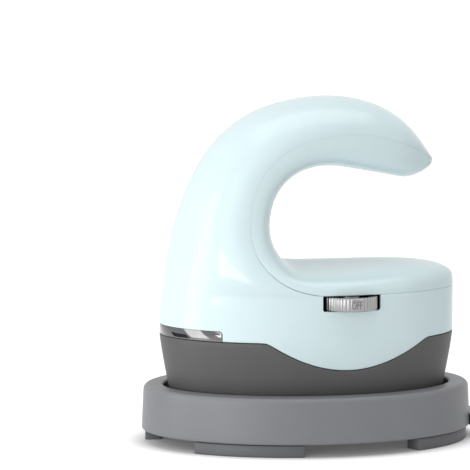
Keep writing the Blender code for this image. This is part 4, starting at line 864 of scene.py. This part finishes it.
def make_label():
    """OFF in upright letters, wrapped round the wheel."""
    text = bpy.data.curves.new("off_label", "FONT")
    text.body = "OFF"
    text.align_x = "CENTER"
    text.align_y = "CENTER"
    text.extrude = LETTER_THICKNESS
    text.resolution_u = LETTER_STEPS
    source = link(bpy.data.objects.new("off_label_text", text))
    bpy.context.view_layer.update()
    graph = bpy.context.evaluated_depsgraph_get()
    mesh = bpy.data.meshes.new_from_object(source.evaluated_get(graph))
    bpy.data.objects.remove(source, do_unlink=True)
    bm = bmesh.new()
    bm.from_mesh(mesh)
    bmesh.ops.subdivide_edges(bm, edges=bm.edges, cuts=1)
    places = np.array([vert.co for vert in bm.verts])
    low = places.min(axis=0)
    size = places.max(axis=0) - low
    share = (places - low) / size - 0.5
    turn = math.radians(LABEL_TURN) + share[:, 0] * LABEL_WIDTH / WHEEL_RADIUS
    radius = WHEEL_RADIUS + LABEL_DEPTH * share[:, 2] * 2
    x = WINDOW_CENTRE + radius * np.sin(turn) + SHIFT.x
    y = WHEEL_Y - radius * np.cos(turn)
    z = WHEEL_BOTTOM + WHEEL_THICKNESS / 2 + share[:, 1] * LABEL_HEIGHT
    for vert, place in zip(bm.verts, np.stack([x, y, z], axis=1)):
        vert.co = place
    bm.to_mesh(mesh)
    bm.free()
    mesh.name = "off_label"
    return link(bpy.data.objects.new("off_label", mesh))


# Finishes. Each is built from procedural nodes, in the piece's own coordinates.


class Finish:
    """A material and its node tree, with short calls to add and join nodes."""

    def __init__(self, name, roughness, metallic=0.0, specular=PLAIN_SPECULAR):
        self.material = bpy.data.materials.new(name)
        self.material.use_nodes = True
        self.tree = self.material.node_tree
        self.shader = self.tree.nodes["Principled BSDF"]
        self.shader.inputs["Roughness"].default_value = roughness
        self.shader.inputs["Metallic"].default_value = metallic
        self.shader.inputs["Specular IOR Level"].default_value = specular
        self.place = self.add("ShaderNodeTexCoord").outputs["Object"]

    def add(self, kind, **settings):
        node = self.tree.nodes.new(kind)
        for key, value in settings.items():
            setattr(node, key, value)
        return node

    def join(self, source, target):
        self.tree.links.new(source, target)

    def noise(self, size, detail=NOISE_DETAIL, stretch=(1, 1, 1), roughness=NOISE_ROUGHNESS):
        """Noise with features of about the given size in metres."""
        mapping = self.add("ShaderNodeMapping")
        mapping.inputs["Scale"].default_value = tuple(1 / (size * part) for part in stretch)
        self.join(self.place, mapping.inputs["Vector"])
        noise = self.add("ShaderNodeTexNoise")
        noise.inputs["Scale"].default_value = 1.0
        noise.inputs["Detail"].default_value = detail
        noise.inputs["Roughness"].default_value = roughness
        self.join(mapping.outputs["Vector"], noise.inputs["Vector"])
        return noise.outputs["Fac"]

    def speckle(self, size):
        """Small spots with a random shade each."""
        mapping = self.add("ShaderNodeMapping")
        mapping.inputs["Scale"].default_value = (1 / size,) * 3
        self.join(self.place, mapping.inputs["Vector"])
        cells = self.add("ShaderNodeTexVoronoi")
        cells.inputs["Scale"].default_value = 1.0
        self.join(mapping.outputs["Vector"], cells.inputs["Vector"])
        return cells.outputs["Distance"]

    def plain_grey(self, grey):
        self.shader.inputs["Base Color"].default_value = (grey, grey, grey, 1)

    def colours(self, factor, stops):
        """Colour by factor, between (position, colour) stops."""
        ramp = self.add("ShaderNodeValToRGB")
        set_stops(ramp, stops)
        self.join(factor, ramp.inputs["Fac"])
        self.join(ramp.outputs["Color"], self.shader.inputs["Base Color"])

    def roughnesses(self, factor, low, high):
        spread = self.add("ShaderNodeMapRange")
        spread.inputs["To Min"].default_value = low
        spread.inputs["To Max"].default_value = high
        self.join(factor, spread.inputs["Value"])
        self.join(spread.outputs["Result"], self.shader.inputs["Roughness"])

    def bump(self, factor, height):
        node = self.add("ShaderNodeBump")
        node.inputs["Strength"].default_value = 1.0
        node.inputs["Distance"].default_value = height
        self.join(factor, node.inputs["Height"])
        self.join(node.outputs["Normal"], self.shader.inputs["Normal"])


def set_stops(ramp, stops):
    """Fills a colour ramp, which starts with two stops, from (position, colour) pairs."""
    elements = ramp.color_ramp.elements
    for number, (position, colour) in enumerate(stops):
        element = elements[number] if number < 2 else elements.new(position)
        element.position = position
        element.color = (*colour, 1)


def shade(colour, amount):
    """A colour made lighter or darker by a share."""
    return tuple(min(channel * (1 + amount), 1.0) for channel in colour)


def moulded(name, colour, roughness, grain, height, variation, spread, specular):
    """Moulded plastic: slight cloudy variation of colour, and a fine grain in the surface."""
    finish = Finish(name, roughness, specular=specular)
    cloud = finish.noise(CLOUD_SIZE, detail=CLOUD_DETAIL)
    finish.colours(cloud, cloudy(colour, variation))
    fine = finish.noise(grain, detail=GRAIN_DETAIL, roughness=GRAIN_ROUGHNESS)
    finish.roughnesses(fine, roughness - spread, roughness + spread)
    finish.bump(fine, height)
    return finish


def cloudy(colour, variation):
    low, high = CLOUD_STOPS
    return (low, shade(colour, -variation)), (high, shade(colour, variation))


def metal(name, colour, roughness, stretch, grain, height):
    """Metal with fine drawn or brushed lines along one direction."""
    finish = Finish(name, roughness, metallic=1.0)
    lines = finish.noise(grain, stretch=stretch)
    finish.colours(lines, cloudy(colour, METAL_COLOUR_SPREAD))
    spread = roughness * METAL_ROUGHNESS_SPREAD
    finish.roughnesses(lines, roughness - spread, roughness + spread)
    finish.bump(lines, height)
    return finish


def coated(name, colour, spot):
    """Baked coating with a fine speckle in it."""
    finish = Finish(name, COAT_ROUGHNESS)
    cells = finish.speckle(COAT_SPOT_SIZE)
    finish.colours(cells, ((0.0, spot), (COAT_SPOT_SHARE, colour), (1.0, shade(colour, COAT_SPREAD))))
    fine = finish.noise(COAT_GRAIN)
    finish.bump(fine, COAT_GRAIN_HEIGHT)
    return finish


def make_finishes():
    made = {key: moulded(*row) for key, row in MOULDED.items()}
    made.update({key: metal(*row) for key, row in METALS.items()})
    made["plate_face"] = coated("plate_coat", CREAM, CREAM_SPOT)
    coat = made["shell"].shader.inputs
    coat["Coat Weight"].default_value = SHELL_COAT_WEIGHT
    coat["Coat Roughness"].default_value = SHELL_COAT_ROUGHNESS
    return {key: finish.material for key, finish in made.items()}


SCREWS_EACH = 4
NODE_FINISHES = {
    "base_liner": "liner",
    "heating_element": "steel",
    "heat_shield": "bright",
    "temperature_sensor": "bright",
    "thermal_fuse": "cream",
    "control_board": "board",
    "rotary_switch": "black",
    "power_relay": "blue",
    "film_capacitor": "cream",
    "terminal_block": "cream",
    "heater_lead_live": "red",
    "heater_lead_neutral": "red",
    "board_lead": "white",
    "sensor_lead": "white",
    "mains_tail": "rubber",
    "cord_bushing": "rubber",
    "status_lens": "lens",
    "status_led": "lens",
    "switch_shaft": "cream",
    "housing_screw_front": "steel",
    "housing_screw_rear": "steel",
}
for number in range(1, SCREWS_EACH + 1):
    NODE_FINISHES[f"plate_screw_{number}"] = "steel"
    NODE_FINISHES[f"board_screw_{number}"] = "steel"


def dress_nodes(finishes):
    """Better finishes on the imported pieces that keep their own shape."""
    for node, finish in NODE_FINISHES.items():
        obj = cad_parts[node]
        obj.data.materials.clear()
        obj.data.materials.append(finishes[finish])
    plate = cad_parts["heat_plate"]
    plate.data.materials.clear()
    plate.data.materials.append(finishes["plate_edge"])
    plate.data.materials.append(finishes["plate_face"])
    for face in plate.data.polygons:
        is_face = face.normal.z < -STRAIGHT_SHARE and face.center.z < PLATE_BOTTOM + PIECE_GAP
        face.material_index = int(is_face)


def put(piece, body, node, finish):
    """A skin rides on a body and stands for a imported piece."""
    piece.data.materials.clear()
    piece.data.materials.append(finish)
    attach(piece, body)
    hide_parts(node)


def make_skins(finishes):
    put(make_shell(), "press", "outer_shell", finishes["shell"])
    put(make_cover(), "press", "inner_cover", finishes["shell"])
    put(make_skirt(), "press", "lower_housing", finishes["skirt"])
    put(make_trim(), "press", "rear_trim", finishes["trim"])
    put(make_tray(), "base", "base_tray", finishes["tray"])
    for name, (start, end) in FOOT_TURN_SHARES.items():
        put(make_foot(name, start, end), "base", name, finishes["foot"])
    put(make_wheel(), "wheel", "thumbwheel", finishes["wheel"])
    label = make_label()
    label.data.materials.clear()
    label.data.materials.append(finishes["print"])
    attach(label, "wheel")


def make_floor():
    """Pale floor that glows a little, so that it is as white as the photo's background."""
    bm = bmesh.new()
    bmesh.ops.create_grid(bm, x_segments=1, y_segments=1, size=FLOOR_SIZE)
    floor = object_from("floor", bm)
    finish = Finish("floor_white", FLOOR_ROUGHNESS, specular=0.0)
    finish.plain_grey(FLOOR_GREY)
    finish.shader.inputs["Emission Color"].default_value = (1, 1, 1, 1)
    glow = finish.add("ShaderNodeMath", operation="MULTIPLY")
    finish.join(seen_rays(finish.tree), glow.inputs[0])
    # The glow drops near the tray, which paints shade on the floor there
    finish.join(floor_glow_with_painted_shade(finish), glow.inputs[1])
    finish.join(glow.outputs["Value"], finish.shader.inputs["Emission Strength"])
    floor.data.materials.append(finish.material)


def floor_glow_with_painted_shade(finish):
    """The floor's white glow, by distance from the middle in tray outlines. The glow drops under and
    beside the tray, which paints shade on the floor there on top of the real shadow.
    """
    mapping = finish.add("ShaderNodeMapping")
    mapping.inputs["Location"].default_value = (-SHIFT.x / TRAY_HALF_LENGTH, 0, 0)
    mapping.inputs["Scale"].default_value = (1 / TRAY_HALF_LENGTH, 1 / half_width(TRAY_HALF_LENGTH), 1)
    finish.join(finish.place, mapping.inputs["Vector"])
    length = finish.add("ShaderNodeVectorMath", operation="LENGTH")
    finish.join(mapping.outputs["Vector"], length.inputs[0])
    farthest = FLOOR_GLOWS_WITH_PAINTED_SHADE[-1][0]
    share = finish.add("ShaderNodeMapRange")
    share.inputs["From Max"].default_value = farthest
    finish.join(length.outputs["Value"], share.inputs["Value"])
    ramp = finish.add("ShaderNodeValToRGB")
    stops = [(distance / farthest, (level,) * 3) for distance, level in FLOOR_GLOWS_WITH_PAINTED_SHADE]
    set_stops(ramp, stops)
    finish.join(share.outputs["Result"], ramp.inputs["Fac"])
    return ramp.outputs["Color"]


def make_dark_card():
    """A low dark card beside the press, there only for the bright trim to mirror."""
    x, y = DARK_CARD_PLACE
    near, far = y - DARK_CARD_LENGTH / 2, y + DARK_CARD_LENGTH / 2
    corners = ((x, near, 0), (x, far, 0), (x, far, DARK_CARD_HEIGHT), (x, near, DARK_CARD_HEIGHT))
    mesh = bpy.data.meshes.new("dark_card")
    mesh.from_pydata(corners, [], [tuple(range(len(corners)))])
    card = link(bpy.data.objects.new("dark_card", mesh))
    finish = Finish("card_dark", DARK_CARD_ROUGHNESS, specular=0.0)
    finish.plain_grey(DARK_CARD_GREY)
    mirrored = finish.add("ShaderNodeLightPath").outputs["Is Glossy Ray"]
    finish.join(mirrored, finish.shader.inputs["Alpha"])
    mesh.materials.append(finish.material)


def seen_rays(tree):
    """1 for rays from the camera, and for those that metal and glass send on."""
    path = tree.nodes.new("ShaderNodeLightPath")
    seen = path.outputs["Is Camera Ray"]
    for ray in ("Is Glossy Ray", "Is Transmission Ray"):
        either = tree.nodes.new("ShaderNodeMath")
        either.operation = "MAXIMUM"
        tree.links.new(seen, either.inputs[0])
        tree.links.new(path.outputs[ray], either.inputs[1])
        seen = either.outputs["Value"]
    return seen


def make_world():
    world = bpy.data.worlds.new("studio")
    bpy.context.scene.world = world
    world.use_nodes = True
    tree = world.node_tree
    background = tree.nodes["Background"]
    background.inputs["Color"].default_value = (1, 1, 1, 1)
    level = tree.nodes.new("ShaderNodeMapRange")
    level.inputs["To Min"].default_value = WORLD_LEVEL
    level.inputs["To Max"].default_value = 1.0
    tree.links.new(seen_rays(tree), level.inputs["Value"])
    tree.links.new(level.outputs["Result"], background.inputs["Strength"])


def make_lights():
    """Soft boxes that face the press."""
    for name, place, size, power in LAMPS:
        lamp = bpy.data.lights.new(name, "AREA")
        lamp.shape = "RECTANGLE"
        lamp.size, lamp.size_y = size
        lamp.energy = power
        obj = link(bpy.data.objects.new(name, lamp))
        obj.location = place
        aim = Vector(LIGHT_TARGET) - Vector(place)
        obj.rotation_euler = aim.to_track_quat("-Z", "Y").to_euler()


def make_camera():
    lens = bpy.data.cameras.new("camera")
    lens.lens = CAMERA_LENS
    lens.clip_start = CAMERA_NEAREST
    camera = link(bpy.data.objects.new("camera", lens))
    camera.location = CAMERA_PLACE
    turn = math.radians(CAMERA_AZIMUTH)
    camera.rotation_euler = (math.pi / 2 - math.radians(CAMERA_ELEVATION), 0, turn)
    bpy.context.scene.camera = camera


bpy.context.scene.view_settings.view_transform = "Standard"
finishes = make_finishes()
make_camera()
make_world()
make_lights()
make_floor()
make_dark_card()
dress_nodes(finishes)
make_skins(finishes)
bpy.context.view_layer.update()
